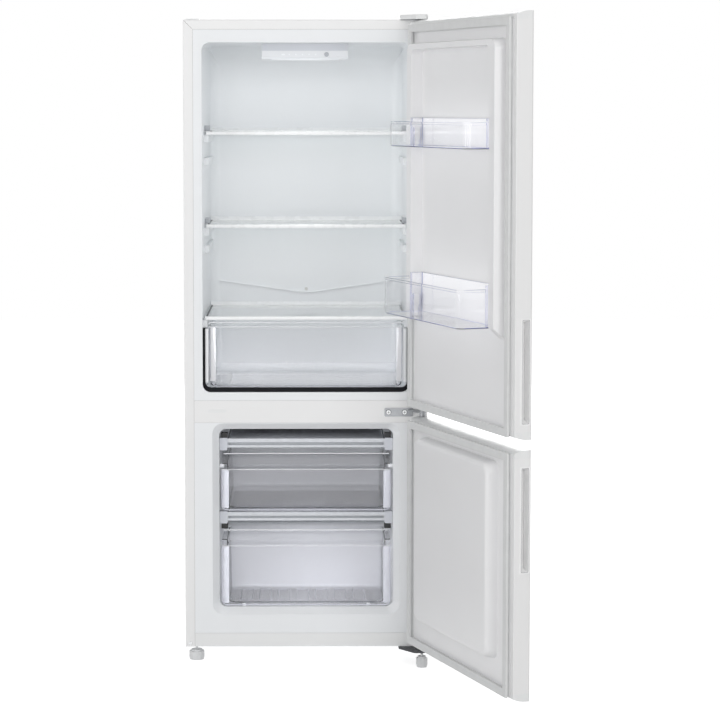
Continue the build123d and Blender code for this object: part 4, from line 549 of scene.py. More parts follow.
# Steel wire dipped in black paint: uneven and half glossy.
CONDENSER_BLACK = Finish(
    "black_dipped_wire", "#1A1B1D", 0.4, mottle=0.15, mottle_mm=10, bump_mm=0.03, bump_size_mm=1.5,
)
# Drawn copper, dulled by handling and the heat of brazing.
COPPER = Finish(
    "drawn_copper_tube", "#C98A62", 0.35, metallic=1.0, mottle=0.25, mottle_mm=12,
    gloss_change=0.12, gloss_mm=8,
)
# Glass-filled polypropylene feet: pale grey with a dull skin.
FOOT_PLASTIC = Finish(
    "moulded_foot_polypropylene", "#E2E3E4", 0.45, ior=1.49, mottle=0.03, bump_mm=0.02,
    bump_size_mm=0.8,
)
# Nylon rollers: dark grey and hard.
ROLLER_PLASTIC = Finish(
    "moulded_roller_nylon", "#2A2B2D", 0.5, ior=1.53, mottle=0.08, bump_mm=0.02, bump_size_mm=0.8,
)
# The thicker rim round a clear drawer's front, where the plastic gathers a violet tint; its whitish
# tone is a painted highlight along the rim.
CLEAR_RIM_HIGHLIGHT = Finish(
    "crystal_polystyrene_rim", "#D9DAE6", 0.16, ior=1.59, coat=0.6, subsurface=0.2, mottle=0.08,
    mottle_mm=18, gloss_change=0.06, gloss_mm=12,
)
# A lighter copy of the same rim: a painted highlight where it faces the light.
HIGHLIGHT_RIM = replace(
    CLEAR_RIM_HIGHLIGHT, name="crystal_polystyrene_highlight_rim", colour="#F2F3F7", roughness=0.12, mottle=0.05,
    gloss_change=0.05,
)
# Ceramic frit printed on the glass along its ground edges.
EDGE_PRINT = Finish(
    "black_ceramic_edge_print", "#2C2E33", 0.4, ior=1.52, mottle=0.12, mottle_mm=5, bump_mm=0.01,
    bump_size_mm=0.5,
)
# The shallow return behind each end of a drawer's front, milky white: painted light for the bright
# band the drawer's side wall shows there.
FROSTED_PLASTIC_PAINTED_LIGHT = Finish(
    "frosted_polystyrene_painted_light", "#ECEDF1", 0.4, ior=1.59, subsurface=0.3, mottle=0.05, mottle_mm=20,
    gloss_change=0.06, gloss_mm=10,
)
# The same return in the cold room, a greyer copy: painted shade of the darker room.
SMOKED_PLASTIC_PAINTED_SHADE = replace(
    FROSTED_PLASTIC_PAINTED_LIGHT, name="smoked_polystyrene_painted_shade", colour="#C4C6CD", roughness=0.42, subsurface=0.2,
    mottle=0.06,
)
# Light piped along a clear wall leaves at its edges, where the resin's violet toner shows.
PIPED_EDGE = Finish(
    "crystal_polystyrene_edge", "#9CA1D6", 0.2, ior=1.59, coat=0.5, subsurface=0.2, mottle=0.12,
    mottle_mm=30, gloss_change=0.06, gloss_mm=15,
)
# The same at the open rim, paler: a painted highlight on its rounded edge.
RIM_EDGE_HIGHLIGHT = replace(
    PIPED_EDGE, name="crystal_polystyrene_rim_edge_highlight", colour="#CCCEDF", mottle=0.1,
)
# Grey ABS of the small stops and strips, with a sparked grain.
STOP_ABS = Finish(
    "moulded_stop_abs", "#BDC0C5", 0.42, ior=1.54, mottle=0.08, mottle_mm=6, bump_mm=0.012,
    bump_size_mm=0.8,
)
# Zinc-flake pan heads, rolled and tumbled: brighter than the plate they hold.
SCREW_ZINC = Finish(
    "tumbled_zinc_screw", "#DCDEDF", 0.28, metallic=0.85, mottle=0.1, mottle_mm=3,
    gloss_change=0.08, gloss_mm=2, bump_mm=0.01, bump_size_mm=0.5,
)
# Aluminium sheet in white paint, dulled by frost.
COOLING_SHEET = Finish(
    "painted_cooling_sheet", "#DADCE2", 0.5, mottle=0.08, mottle_mm=40, bump_mm=0.01,
    bump_size_mm=2.0,
)


# ---- shapes
def rounded_route(
    corners: list[tuple[Point, float]], closed: bool = False, steps: int = 6
) -> list[Point]:
    """Points of a flat route whose corners are rounded.

    Args:
        corners: Each corner with its radius.
        closed: Whether the route comes back to its start.
        steps: How many steps round each corner.

    Returns:
        The route's points, in order.
    """
    count = len(corners)
    route: list[Point] = []
    for index, (corner, radius) in enumerate(corners):
        at = Vector(corner)
        ends_here = not closed and index in (0, count - 1)
        if ends_here or radius == 0:
            route.append(tuple(at))
            continue
        before = (Vector(corners[index - 1][0]) - at).normalized()
        after = (Vector(corners[(index + 1) % count][0]) - at).normalized()
        half_angle = before.angle(after) / 2
        centre = at + (before + after).normalized() * radius / math.sin(half_angle)
        first = at + before * radius / math.tan(half_angle) - centre
        last = at + after * radius / math.tan(half_angle) - centre
        for step in range(steps + 1):
            route.append(tuple(centre + first.slerp(last, step / steps) * radius))
    return route


def bead(
    name: str,
    route: list[Point],
    radius: float,
    finish: Finish,
    closed: bool = False,
) -> Piece:
    """A round moulded bead or wire along a route.

    Args:
        name: The piece's name.
        route: The points it follows.
        radius: Its half thickness.
        finish: Its finish.
        closed: Whether it is a ring.

    Returns:
        The new object.
    """
    curve = bpy.data.curves.new(name, "CURVE")
    curve.dimensions = "3D"
    curve.bevel_depth = radius
    curve.bevel_resolution = 3
    curve.use_fill_caps = not closed
    spline = curve.splines.new("POLY")
    spline.points.add(len(route) - 1)
    for point, at in zip(spline.points, route):
        point.co = (*at, 1.0)
    spline.use_cyclic_u = closed
    loose = new_object(name + "_route", curve)
    bpy.context.view_layer.update()
    seen = loose.evaluated_get(bpy.context.evaluated_depsgraph_get())
    mesh = bpy.data.meshes.new_from_object(seen)
    bpy.data.objects.remove(loose)
    return piece_from(name, mesh, finish)


def piece_from(name: str, mesh: bpy.types.Mesh, finish: Finish) -> Piece:
    """A scene object from a mesh, smooth-shaded and dressed.

    Args:
        name: The piece's name.
        mesh: Its mesh.
        finish: Its finish.

    Returns:
        The new object.
    """
    mesh.name = name
    mesh.materials.clear()
    mesh.materials.append(finish.build())
    mesh.shade_smooth()
    return new_object(name, mesh)


def mesh_of(name: str, form: bmesh.types.BMesh) -> bpy.types.Mesh:
    """The mesh of an edited form, which is then let go.

    Args:
        name: The mesh's name.
        form: The edited form.

    Returns:
        The new mesh.
    """
    mesh = bpy.data.meshes.new(name)
    form.to_mesh(mesh)
    form.free()
    return mesh


def along(start: Point, end: Point, steps: int) -> list[Point]:
    """Evenly spaced points from a start to an end."""
    return [tuple(Vector(start).lerp(Vector(end), step / steps)) for step in range(steps + 1)]


def spaced(route: list[Point], gap: float = 0.004) -> list[Point]:
    """A route with points no further apart than about a gap.

    Args:
        route: The points to follow.
        gap: The widest gap between two points.

    Returns:
        The route with points added.
    """
    points = []
    for start, end in zip(route, route[1:]):
        steps = max(1, math.ceil((Vector(end) - Vector(start)).length / gap))
        points += along(start, end, steps)[:-1]
    return points + [route[-1]]


def laid_on(frame: dict, node: str, route: list[Point], proud: float) -> list[Point]:
    """A route moved along Y onto a CAD node's front, less the points that miss it.

    Args:
        node: The CAD node.
        route: The points as seen from the front.
        proud: How far each stands in front of the face.

    Returns:
        The new points.
    """
    form = bmesh.new()
    form.from_mesh(frame["nodes"][node].data)
    face = BVHTree.FromBMesh(form)
    start_y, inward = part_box(node)[0].y - RAY_START, Vector((0.0, 1.0, 0.0))
    hits = [face.ray_cast(Vector((x, start_y, z)), inward)[0] for x, _, z in spaced(route)]
    form.free()
    return [(hit.x, hit.y - proud, hit.z) for hit in hits if hit is not None]


def ring_route(corners: list[Point], radius: float) -> list[Point]:
    """A closed route with all its corners rounded alike."""
    return rounded_route([(corner, radius) for corner in corners], closed=True)


def both_sides(inner: float, outer: float) -> list[tuple[str, Span]]:
    """The names left and right, each with its span along X, for a pair about the middle."""
    return [("left", (-outer, -inner)), ("right", (inner, outer))]


def piped_edges(frame: dict, node: str, radius: float, least: float, rim: bool) -> Piece:
    """Fine lines along a clear CAD node's crisp edges, where light leaves its walls.

    Args:
        node: The CAD node.
        radius: The half thickness of a line.
        least: The shortest edge that gets one.
        rim: Whether to take the level edges of the open rim, or all the others.

    Returns:
        The new object.
    """
    source = bmesh.new()
    source.from_mesh(frame["nodes"][node].data)
    bmesh.ops.remove_doubles(source, verts=source.verts[:], dist=SAME_PLACE)
    bmesh.ops.dissolve_limit(
        source, angle_limit=FLAT_ANGLE, verts=source.verts[:], edges=source.edges[:]
    )
    lines = bmesh.new()
    middle = sum(corner.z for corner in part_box(node)) / 2
    for edge in source.edges:
        if all(vertex.co.z > middle for vertex in edge.verts) != rim:
            continue
        crisp = len(edge.link_faces) == 2 and edge.calc_face_angle(0.0) > CRISP_ANGLE
        if not crisp or edge.calc_length() < least:
            continue
        start, end = (vertex.co for vertex in edge.verts)
        run = (end - start).normalized()
        side = run.orthogonal().normalized() * radius
        turned = run.cross(side)
        turns = [math.tau * step / LINE_SIDES for step in range(LINE_SIDES)]
        rings = [
            [
                lines.verts.new(at + side * math.cos(turn) + turned * math.sin(turn))
                for turn in turns
            ]
            for at in (start, end)
        ]
        for step in range(LINE_SIDES):
            after = (step + 1) % LINE_SIDES
            lines.faces.new((rings[0][step], rings[0][after], rings[1][after], rings[1][step]))
        lines.faces.new(rings[0][::-1])
        lines.faces.new(rings[1])
    source.free()
    name = f"{node}_{'rim' if rim else 'lower'}_edges"
    return piece_from(name, mesh_of(name, lines), RIM_EDGE_HIGHLIGHT if rim else PIPED_EDGE)


def slab(name: str, x: Span, y: Span, z: Span, edge: float, finish: Finish) -> Piece:
    """A block with all its edges softened.

    Args:
        name: The piece's name.
        x: Its lowest and highest X.
        y: Its lowest and highest Y.
        z: Its lowest and highest Z.
        edge: How far the edges are rounded.
        finish: Its finish.

    Returns:
        The new object.
    """
    form = bmesh.new()
    bmesh.ops.create_cube(form, size=1.0)
    low, high = (Vector(corner) for corner in zip(x, y, z))
    middle, size = (low + high) / 2, high - low
    for vertex in form.verts:
        vertex.co = Vector(a * b for a, b in zip(vertex.co, size)) + middle
    bmesh.ops.bevel(form, geom=form.edges[:], offset=edge, segments=3, profile=0.5, affect="EDGES")
    piece = piece_from(name, mesh_of(name, form), finish)
    piece.data.set_sharp_from_angle(angle=SHARP_ANGLE)
    return piece


def fit(piece: Piece, body: str) -> None:
    """Make a piece ride on a body.

    Args:
        piece: The new piece.
        body: The body that carries it.
    """
    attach(piece, body)
    LOG.info("%s rides on %s", piece.name, body)


def dress(frame: dict, finish: Finish, *nodes: str) -> None:
    """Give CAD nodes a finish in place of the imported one.

    Args:
        finish: The finish to use.
        nodes: Names of the CAD nodes.
    """
    material = finish.build()
    for name in nodes:
        mesh = frame["nodes"][name].data
        mesh.materials.clear()
        mesh.materials.append(material)
    LOG.info("%s on %s", finish.name, ", ".join(nodes))


# ---- sub-assemblies
@dataclass
class Cabinet:
    """The outer shell, its front strips, hinges, screws, feet and hole covers."""

    screw_x: Span = (0.202, 0.2413)
    screw_z: float = 0.6235
    screw_face: float = -0.0051
    plate_face: float = -0.0025
    screw_radius: float = 0.0055
    rim_ratio: float = 1.12
    rim_steps: int = 32
    rim_wire: float = 0.0006
    cross_arm: float = 0.5
    cross_wire: float = 0.0005

    def build(self, frame: dict) -> None:
        """Dress the cabinet's own nodes and detail the screws at the front.
        """
        dress(frame, PAINTED_STEEL, "cabinet_shell", "mullion_cover")
        dress(frame, WHITE_ABS, "bottom_front_rail", "hole_covers", "top_hinge_cover")
        # The foam's dark colour is painted shade for the seams it shows in.
        dress(frame, FOAM_PAINTED_SHADE, "cabinet_foam", "upper_door_foam", "lower_door_foam")
        dress(frame, GALVANISED, "back_panel", "base_sheet", "compressor_plate")
        dress(frame, ZINC_PLATE, "top_hinge", "middle_hinge")
        dress(frame, SCREW_ZINC, "hinge_screws")
        dress(frame, DARK_STEEL, "bottom_hinge")
        dress(frame, FOOT_PLASTIC, "left_foot", "right_foot")
        dress(frame, ROLLER_PLASTIC, "left_roller", "right_roller")
        for number, x in enumerate(self.screw_x, 1):
            self.detail_screw(number, x)

    def detail_screw(self, number: int, x: float) -> None:
        """A dark ring round a middle hinge screw and a dark cross on its head: painted shade of the
        pressed rim and of the cross recess.

        Args:
            number: The screw's number, for its pieces' names.
            x: The screw's X.
        """
        radius = self.screw_radius * self.rim_ratio
        turns = [math.tau * step / self.rim_steps for step in range(self.rim_steps)]
        ring = [
            (x + radius * math.cos(turn), self.plate_face, self.screw_z + radius * math.sin(turn))
            for turn in turns
        ]
        rim = bead(f"middle_screw_rim_{number}", ring, self.rim_wire, DARK_STEEL, closed=True)
        fit(rim, "cabinet")
        arm, y = self.screw_radius * self.cross_arm, self.screw_face
        for turn, (dx, dz) in enumerate(((arm, 0.0), (0.0, arm)), 1):
            ends = [(x - dx, y, self.screw_z - dz), (x + dx, y, self.screw_z + dz)]
            slit = bead(f"middle_screw_cross_{number}_{turn}", ends, self.cross_wire, DARK_STEEL)
            fit(slit, "cabinet")


@dataclass
class FridgeRoom:
    """The upper compartment: lining, shelves, drawer, control panel and lamp."""

    print_width: float = 0.004
    print_height: float = 0.0006
    print_ends: Span = (0.012, 0.01)
    rim_radius: float = 0.0012
    rim_sunk: float = 0.0001
    crisper_corner: float = 0.02
    stop_x: Span = (0.2395, 0.2516)
    stop_y: Span = (0.125, 0.165)
    stop_height: float = 0.013
    stop_gap: float = 0.0032
    crisper_highlight_lines: Span = (0.7431, 0.7155)
    line_inset: float = 0.006
    line_radius: float = 0.0006
    line_proud: float = 0.0005
    rail_height: float = 0.013
    rail_line_drop: float = 0.002
    draft: float = 0.003
    runner_gap: float = 0.0009
    runner_inset: float = 0.0056
    runner_y: Span = (0.0085, 0.2)
    runner_rise: float = 0.012
    runner_drop: float = 0.001
    return_x: Span = (0.0165, 0.0035)
    return_y: Span = (0.0032, 0.0044)
    return_inset: float = 0.014

    def build(self, frame: dict) -> None:
        """Dress the fridge compartment.
        """
        dress(frame, LINING, "fridge_liner")
        dress(frame, FLOAT_GLASS, "upper_shelf_glass", "middle_shelf_glass", "crisper_cover_glass")
        dress(frame, SHELF_TRIM, "upper_shelf_trims", "middle_shelf_trims", "crisper_cover_trims")
        dress(frame, CRYSTAL_PLASTIC, "crisper_drawer")
        dress(frame, DARK_TRIM, "crisper_bay_trim")
        dress(frame, PANEL_ABS_PAINTED_SHADE, "control_panel")
        dress(frame, LIGHT_WINDOW, "light_windows")
        dress(frame, BUTTON_ABS, "temperature_button")
        dress(frame, PIPE_PLASTIC, "drain_tube")
        for shelf in ("upper_shelf", "middle_shelf", "crisper_cover"):
            self.print_edges(shelf)
        for shelf in ("upper_shelf", "middle_shelf"):
            self.stop_shelf(shelf)
        self.rim_crisper(frame)
        self.run_crisper(frame)

    def stop_shelf(self, shelf: str) -> None:
        """The small grey blocks on the side walls that keep a pulled shelf from tipping.

        Args:
            shelf: The body of the shelf.
        """
        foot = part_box(f"{shelf}_glass")[1].z + self.stop_gap
        z = (foot, foot + self.stop_height)
        for side, x in both_sides(*self.stop_x):
            block = slab(f"{shelf}_stop_{side}", x, self.stop_y, z, edge=0.0016, finish=STOP_ABS)
            fit(block, "cabinet")

    def run_crisper(self, frame: dict) -> None:
        """White runners each side of the crisper, the milky returns painting the light of its side
        walls, and two painted highlight lines on its front.
        """
        low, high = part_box("crisper_drawer")
        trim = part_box("crisper_bay_trim")[1]
        runners = both_sides(high.x + self.runner_gap, trim.x - self.runner_inset)
        returns = both_sides(*(high.x - inset for inset in self.return_x))
        z = (low.z + self.runner_rise, trim.z - self.runner_drop)
        back_y = tuple(low.y + depth for depth in self.return_y)
        back_z = (low.z + self.return_inset, high.z - self.return_inset)
        for (side, x), (_, back_x) in zip(runners, returns):
            runner = slab(f"crisper_runner_{side}", x, self.runner_y, z, edge=0.0012, finish=LINING)
            fit(runner, "cabinet")
            name = f"crisper_return_{side}"
            back = slab(name, back_x, back_y, back_z, edge=0.0004, finish=FROSTED_PLASTIC_PAINTED_LIGHT)
            fit(back, "crisper_drawer")
        # The two bright lines across the front are painted highlights of edges seen through it.
        for number, z in enumerate(self.crisper_highlight_lines, 1):
            ends = [(low.x + self.line_inset, low.y, z), (high.x - self.line_inset, low.y, z)]
            route = laid_on(frame, "crisper_drawer", ends, self.line_proud)
            line = bead(f"crisper_front_line_{number}", route, self.line_radius, HIGHLIGHT_RIM)
            fit(line, "crisper_drawer")

    def print_edges(self, shelf: str) -> None:
        """The dark printed border along each side of a glass shelf.

        Args:
            shelf: The body of the shelf.
        """
        low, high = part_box(f"{shelf}_glass")
        y = (low.y + self.print_ends[0], high.y - self.print_ends[1])
        z = (high.z, high.z + self.print_height)
        for side, x in (("left", low.x), ("right", high.x - self.print_width)):
            name, width = f"{shelf}_edge_print_{side}", (x, x + self.print_width)
            strip = slab(name, width, y, z, edge=self.print_height * 0.4, finish=EDGE_PRINT)
            fit(strip, shelf)

    def rim_crisper(self, frame: dict) -> None:
        """The bead round the crisper's front and the painted highlight lines along its pull rail.
        """
        low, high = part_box("crisper_drawer")
        y, radius, proud = low.y, self.rim_radius, self.rim_radius - self.rim_sunk
        left, right = low.x + radius, high.x - radius
        floor, top = low.z + radius, high.z - self.rail_height
        route = rounded_route([
            ((left, y, top), 0),
            ((left + self.draft, y, floor), self.crisper_corner),
            ((right - self.draft, y, floor), self.crisper_corner),
            ((right, y, top), 0),
        ])
        route = laid_on(frame, "crisper_drawer", route, proud)
        rim = bead("crisper_front_bead", route, radius, CLEAR_RIM_HIGHLIGHT)
        fit(rim, "crisper_drawer")
        for place, z in (("upper", high.z - self.rail_line_drop), ("lower", top)):
            ends = laid_on(frame, "crisper_drawer", [(left, y, z), (right, y, z)], proud)
            line = bead(f"crisper_rail_line_{place}", ends, radius, HIGHLIGHT_RIM)
            fit(line, "crisper_drawer")


@dataclass
class FreezerRoom:
    """The lower compartment: lining, cooling shelves and drawers."""

    rim_radius: float = 0.0013
    corner: float = 0.012
    scoop_drop: float = 0.038
    lip_share: float = 0.7
    crest_back: float = 0.006
    crest_inset: float = 0.003
    crest_rise: float = 0.0004
    floor_lift: float = 0.006
    rib_count: int = 7
    shade_block_x: Span = (0.193, 0.2095)
    shade_block_height: float = 0.0124
    shade_block_gap: float = 0.0003
    shade_block_ends: Span = (0.001, 0.004)
    return_x: Span = (0.018, 0.002)
    return_y: Span = (0.0028, 0.004)
    return_ends: Span = (0.005, 0.002)
    side_inset: float = 0.006
    strip_y: Span = (0.0072, 0.0082)
    strip_inset: float = 0.002
    sheet_ends: Span = (0.012, 0.004)
    sheet_drop: Span = (0.0058, 0.0046)
    rib_corner: float = 0.006
    rib_radius: float = 0.0007
    rib_share: float = 0.62
    rib_side: float = 0.045
    rib_y: Span = (0.035, 0.16)

    def build(self, frame: dict) -> None:
        """Dress the freezer compartment.
        """
        dress(frame, LINING, "freezer_liner")
        dress(frame, EVAPORATOR_PAINTED_SHADE, "upper_evaporator", "lower_evaporator")
        dress(frame, CLIP_PLASTIC, "evaporator_clips")
        dress(frame, DRAWER_PLASTIC, "upper_freezer_drawer", "lower_freezer_drawer")
        for drawer in ("upper_freezer_drawer", "lower_freezer_drawer"):
            self.rim_drawer(drawer)
            self.back_drawer_ends(drawer)
        self.rib_floor()
        self.block_clips()
        self.lay_cooling_sheet()
        for shelf in ("upper_evaporator", "lower_evaporator"):
            self.close_bars(shelf)

    def back_drawer_ends(self, drawer: str) -> None:
        """The greyed milky returns behind a drawer's front: painted light of its side walls,
        darkened as painted shade of the freezer.

        Args:
            drawer: The drawer's node, which is also its body.
        """
        low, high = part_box(drawer)
        y = tuple(low.y + depth for depth in self.return_y)
        z = (low.z + self.return_ends[0], high.z - self.scoop_drop - self.return_ends[1])
        for side, x in both_sides(*(high.x - inset for inset in self.return_x)):
            back = slab(f"{drawer}_return_{side}", x, y, z, edge=0.0004, finish=SMOKED_PLASTIC_PAINTED_SHADE)
            fit(back, drawer)

    def close_bars(self, shelf: str) -> None:
        """The folded grey strip behind a cooling shelf's front bars.

        Args:
            shelf: The cooling shelf's node.
        """
        low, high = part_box(shelf)
        x = (low.x + self.side_inset, high.x - self.side_inset)
        y = tuple(low.y + depth for depth in self.strip_y)
        z = (low.z + self.strip_inset, high.z - self.strip_inset)
        strip = slab(f"{shelf}_front_strip", x, y, z, edge=0.0003, finish=STOP_ABS)
        fit(strip, "cabinet")

    def rim_drawer(self, drawer: str) -> None:
        """The bead round a drawer's front, and the painted highlight lines on its scoop's lip and
        crest.

        Args:
            drawer: The drawer's node, which is also its body.
        """
        low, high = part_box(drawer)
        radius = self.rim_radius
        y, left, right = low.y - radius, low.x + radius, high.x - radius
        floor, top = low.z + radius, high.z - self.scoop_drop
        sides = rounded_route([
            ((left, y, top), 0),
            ((left, y, floor), self.corner),
            ((right, y, floor), self.corner),
            ((right, y, top), 0),
        ])
        fit(bead(f"{drawer}_front_bead", sides, radius, CLEAR_RIM_HIGHLIGHT), drawer)
        lip, fine = [(left, y, top), (right, y, top)], radius * self.lip_share
        fit(bead(f"{drawer}_scoop_highlight", lip, fine, HIGHLIGHT_RIM), drawer)
        y, z = low.y + self.crest_back, high.z + self.crest_rise
        crest = [(left + self.crest_inset, y, z), (right - self.crest_inset, y, z)]
        fit(bead(f"{drawer}_crest_highlight", crest, radius, HIGHLIGHT_RIM), drawer)

    def rib_floor(self) -> None:
        """The low stiffening frames moulded in the lower drawer's floor."""
        low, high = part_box("lower_freezer_drawer")
        z = low.z + self.floor_lift
        y0, y1 = (low.y + depth for depth in self.rib_y)
        pitch = (high.x - low.x - 2 * self.rib_side) / self.rib_count
        for index in range(self.rib_count):
            x0 = low.x + self.rib_side + pitch * index
            x1 = x0 + pitch * self.rib_share
            corners = [(x0, y0, z), (x1, y0, z), (x1, y1, z), (x0, y1, z)]
            ring, name = ring_route(corners, self.rib_corner), f"drawer_floor_rib_{index + 1}"
            # The floor's ribs take the rim's whitish painted highlight.
            rib = bead(name, ring, self.rib_radius, CLEAR_RIM_HIGHLIGHT, closed=True)
            fit(rib, "lower_freezer_drawer")

    def block_clips(self) -> None:
        """Black blocks over the upper clips and under the lower ones, standing in as painted shade
        for the dark gaps there.
        """
        low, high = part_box("evaporator_clips")
        y = (low.y + self.shade_block_ends[0], high.y - self.shade_block_ends[1])
        bottom, top = low.z - self.shade_block_gap, high.z + self.shade_block_gap
        rows = {
            "lower": (bottom - self.shade_block_height, bottom),
            "upper": (top, top + self.shade_block_height),
        }
        # These black blocks paint the shade of the gaps beside the clips.
        for side, x in both_sides(*self.shade_block_x):
            for row, z in rows.items():
                block = slab(f"{row}_shade_block_{side}", x, y, z, edge=0.0012, finish=BLACK_PLASTIC)
                fit(block, "cabinet")

    def lay_cooling_sheet(self) -> None:
        """The thin sheet just over each cooling shelf's cross rests, under its front bars' top."""
        for row in ("upper", "lower"):
            low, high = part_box(f"{row}_evaporator")
            x = (low.x + self.side_inset, high.x - self.side_inset)
            y = (low.y + self.sheet_ends[0], high.y - self.sheet_ends[1])
            z = tuple(high.z - drop for drop in self.sheet_drop)
            sheet = slab(f"{row}_cooling_sheet", x, y, z, edge=0.0004, finish=COOLING_SHEET)
            fit(sheet, "cabinet")


class Leaf(Enum):
    """The two doors, by the name of their CAD body."""

    UPPER = "upper_door"
    LOWER = "lower_door"


@dataclass
class Door:
    """One door: steel skin, caps, lining, seal and grip."""

    leaf: Leaf
    grip_z: Span
    bins: tuple[str, ...] = ()
    hinge: Span = (0.2835, -0.041)
    opened: float = math.radians(110.3)
    edge_x: float = -0.2983
    grip_y: Span = (-0.0463, -0.0293)
    scoop_depth: Span = (0.0146, 0.0097)
    scoop_turn: float = 0.67
    scoop_wall: float = 0.001
    scoop_rows: int = 40
    scoop_columns: int = 16
    grip_end: float = 0.0035
    grip_gap: float = 0.0002
    flange: float = 0.0008
    rim_corner: float = 0.003
    rim_radius: float = 0.0005
    rim_sunk: float = 0.0001
    bin_edge: float = 0.00045
    bin_rim: float = 0.0003
    least_edge: float = 0.02

    def turn(self, piece: Piece) -> Piece:
        """Swing a piece made at the shut door to where the door rests.

        Args:
            piece: The piece, in the shut door's place.

        Returns:
            The same piece.
        """
        pivot = Matrix.Translation((*self.hinge, 0.0))
        piece.data.transform(pivot @ Matrix.Rotation(self.opened, 4, "Z") @ pivot.inverted())
        return piece

    def scoop_mesh(self, name: str) -> bpy.types.Mesh:
        """The rounded lining of the grip's cup, which leaves the fingers' room free.

        Args:
            name: The mesh's name.

        Returns:
            The lining's mesh, in the shut door's place.
        """
        (y0, y1), (z0, z1) = self.grip_y, self.grip_z
        gap, (bowl, straight) = self.grip_gap, self.scoop_depth
        form = bmesh.new()
        rows = []
        for step in range(self.scoop_rows + 1):
            z = z0 + gap + (z1 - z0 - 2 * gap) * step / self.scoop_rows
            rise = min(1.0, (z - z0) / self.grip_end, (z1 - z) / self.grip_end)
            swell = math.sin(rise * math.pi / 2)
            row = []
            for across in range(self.scoop_columns + 1):
                part = across / self.scoop_columns
                rounded = max(0.0, part - self.scoop_turn) / (1.0 - self.scoop_turn)
                depth = bowl * math.sqrt(1.0 - rounded ** 2) + straight
                x = self.edge_x + self.flange + depth * swell
                row.append(form.verts.new((x, y0 + gap + (y1 - y0 - 2 * gap) * part, z)))
            rows.append(row)
        for under, over in zip(rows, rows[1:]):
            for cell in range(self.scoop_columns):
                form.faces.new((under[cell], under[cell + 1], over[cell + 1], over[cell]))
        bmesh.ops.recalc_face_normals(form, faces=form.faces[:])
        bmesh.ops.solidify(form, geom=form.faces[:], thickness=self.scoop_wall)
        return mesh_of(name, form)

    def make_grip(self) -> None:
        """The lining of the grip's cup and the rolled rim round its mouth, grey as a painted shadow
        line.
        """
        name = self.leaf.value
        scoop = f"{name}_grip_scoop"
        fit(self.turn(piece_from(scoop, self.scoop_mesh(scoop), GRIP_ABS_PAINTED_LIGHT)), name)
        x = self.edge_x + self.rim_sunk
        (y0, y1), (z0, z1) = self.grip_y, self.grip_z
        ring = ring_route([(x, y0, z0), (x, y1, z0), (x, y1, z1), (x, y0, z1)], self.rim_corner)
        rim = self.turn(bead(f"{name}_grip_rim", ring, self.rim_radius, GRIP_SHADOW_LINE, closed=True))
        fit(rim, name)

    def build(self, frame: dict) -> None:
        """Dress the door and its bins, and line its grip.
        """
        name = self.leaf.value
        dress(frame, PAINTED_STEEL, f"{name}_panel")
        dress(frame, WHITE_ABS, f"{name}_bottom_cap", f"{name}_top_cap")
        dress(frame, DOOR_LINING_PAINTED_LIGHT, f"{name}_liner")
        dress(frame, SEAL_PVC, f"{name}_gasket")
        dress(frame, GRIP_ABS_PAINTED_LIGHT, f"{name}_grip")
        self.make_grip()
        for bin_name in self.bins:
            dress(frame, CRYSTAL_PLASTIC, bin_name)
            for rim, radius in ((False, self.bin_edge), (True, self.bin_rim)):
                edges = piped_edges(frame, bin_name, radius, self.least_edge, rim)
                fit(edges, bin_name)


@dataclass
class Machinery:
    """Compressor, pipes, condenser and tray at the back."""

    def build(self, frame: dict) -> None:
        """Dress the machinery.
        """
        dress(frame, BLACK_ENAMEL, "compressor")
        dress(frame, BLACK_RUBBER, "compressor_mounts")
        dress(frame, BLACK_PLASTIC, "relay_box", "evaporation_tray")
        dress(frame, CONDENSER_BLACK, "condenser")
        dress(frame, COPPER, "refrigerant_pipes")


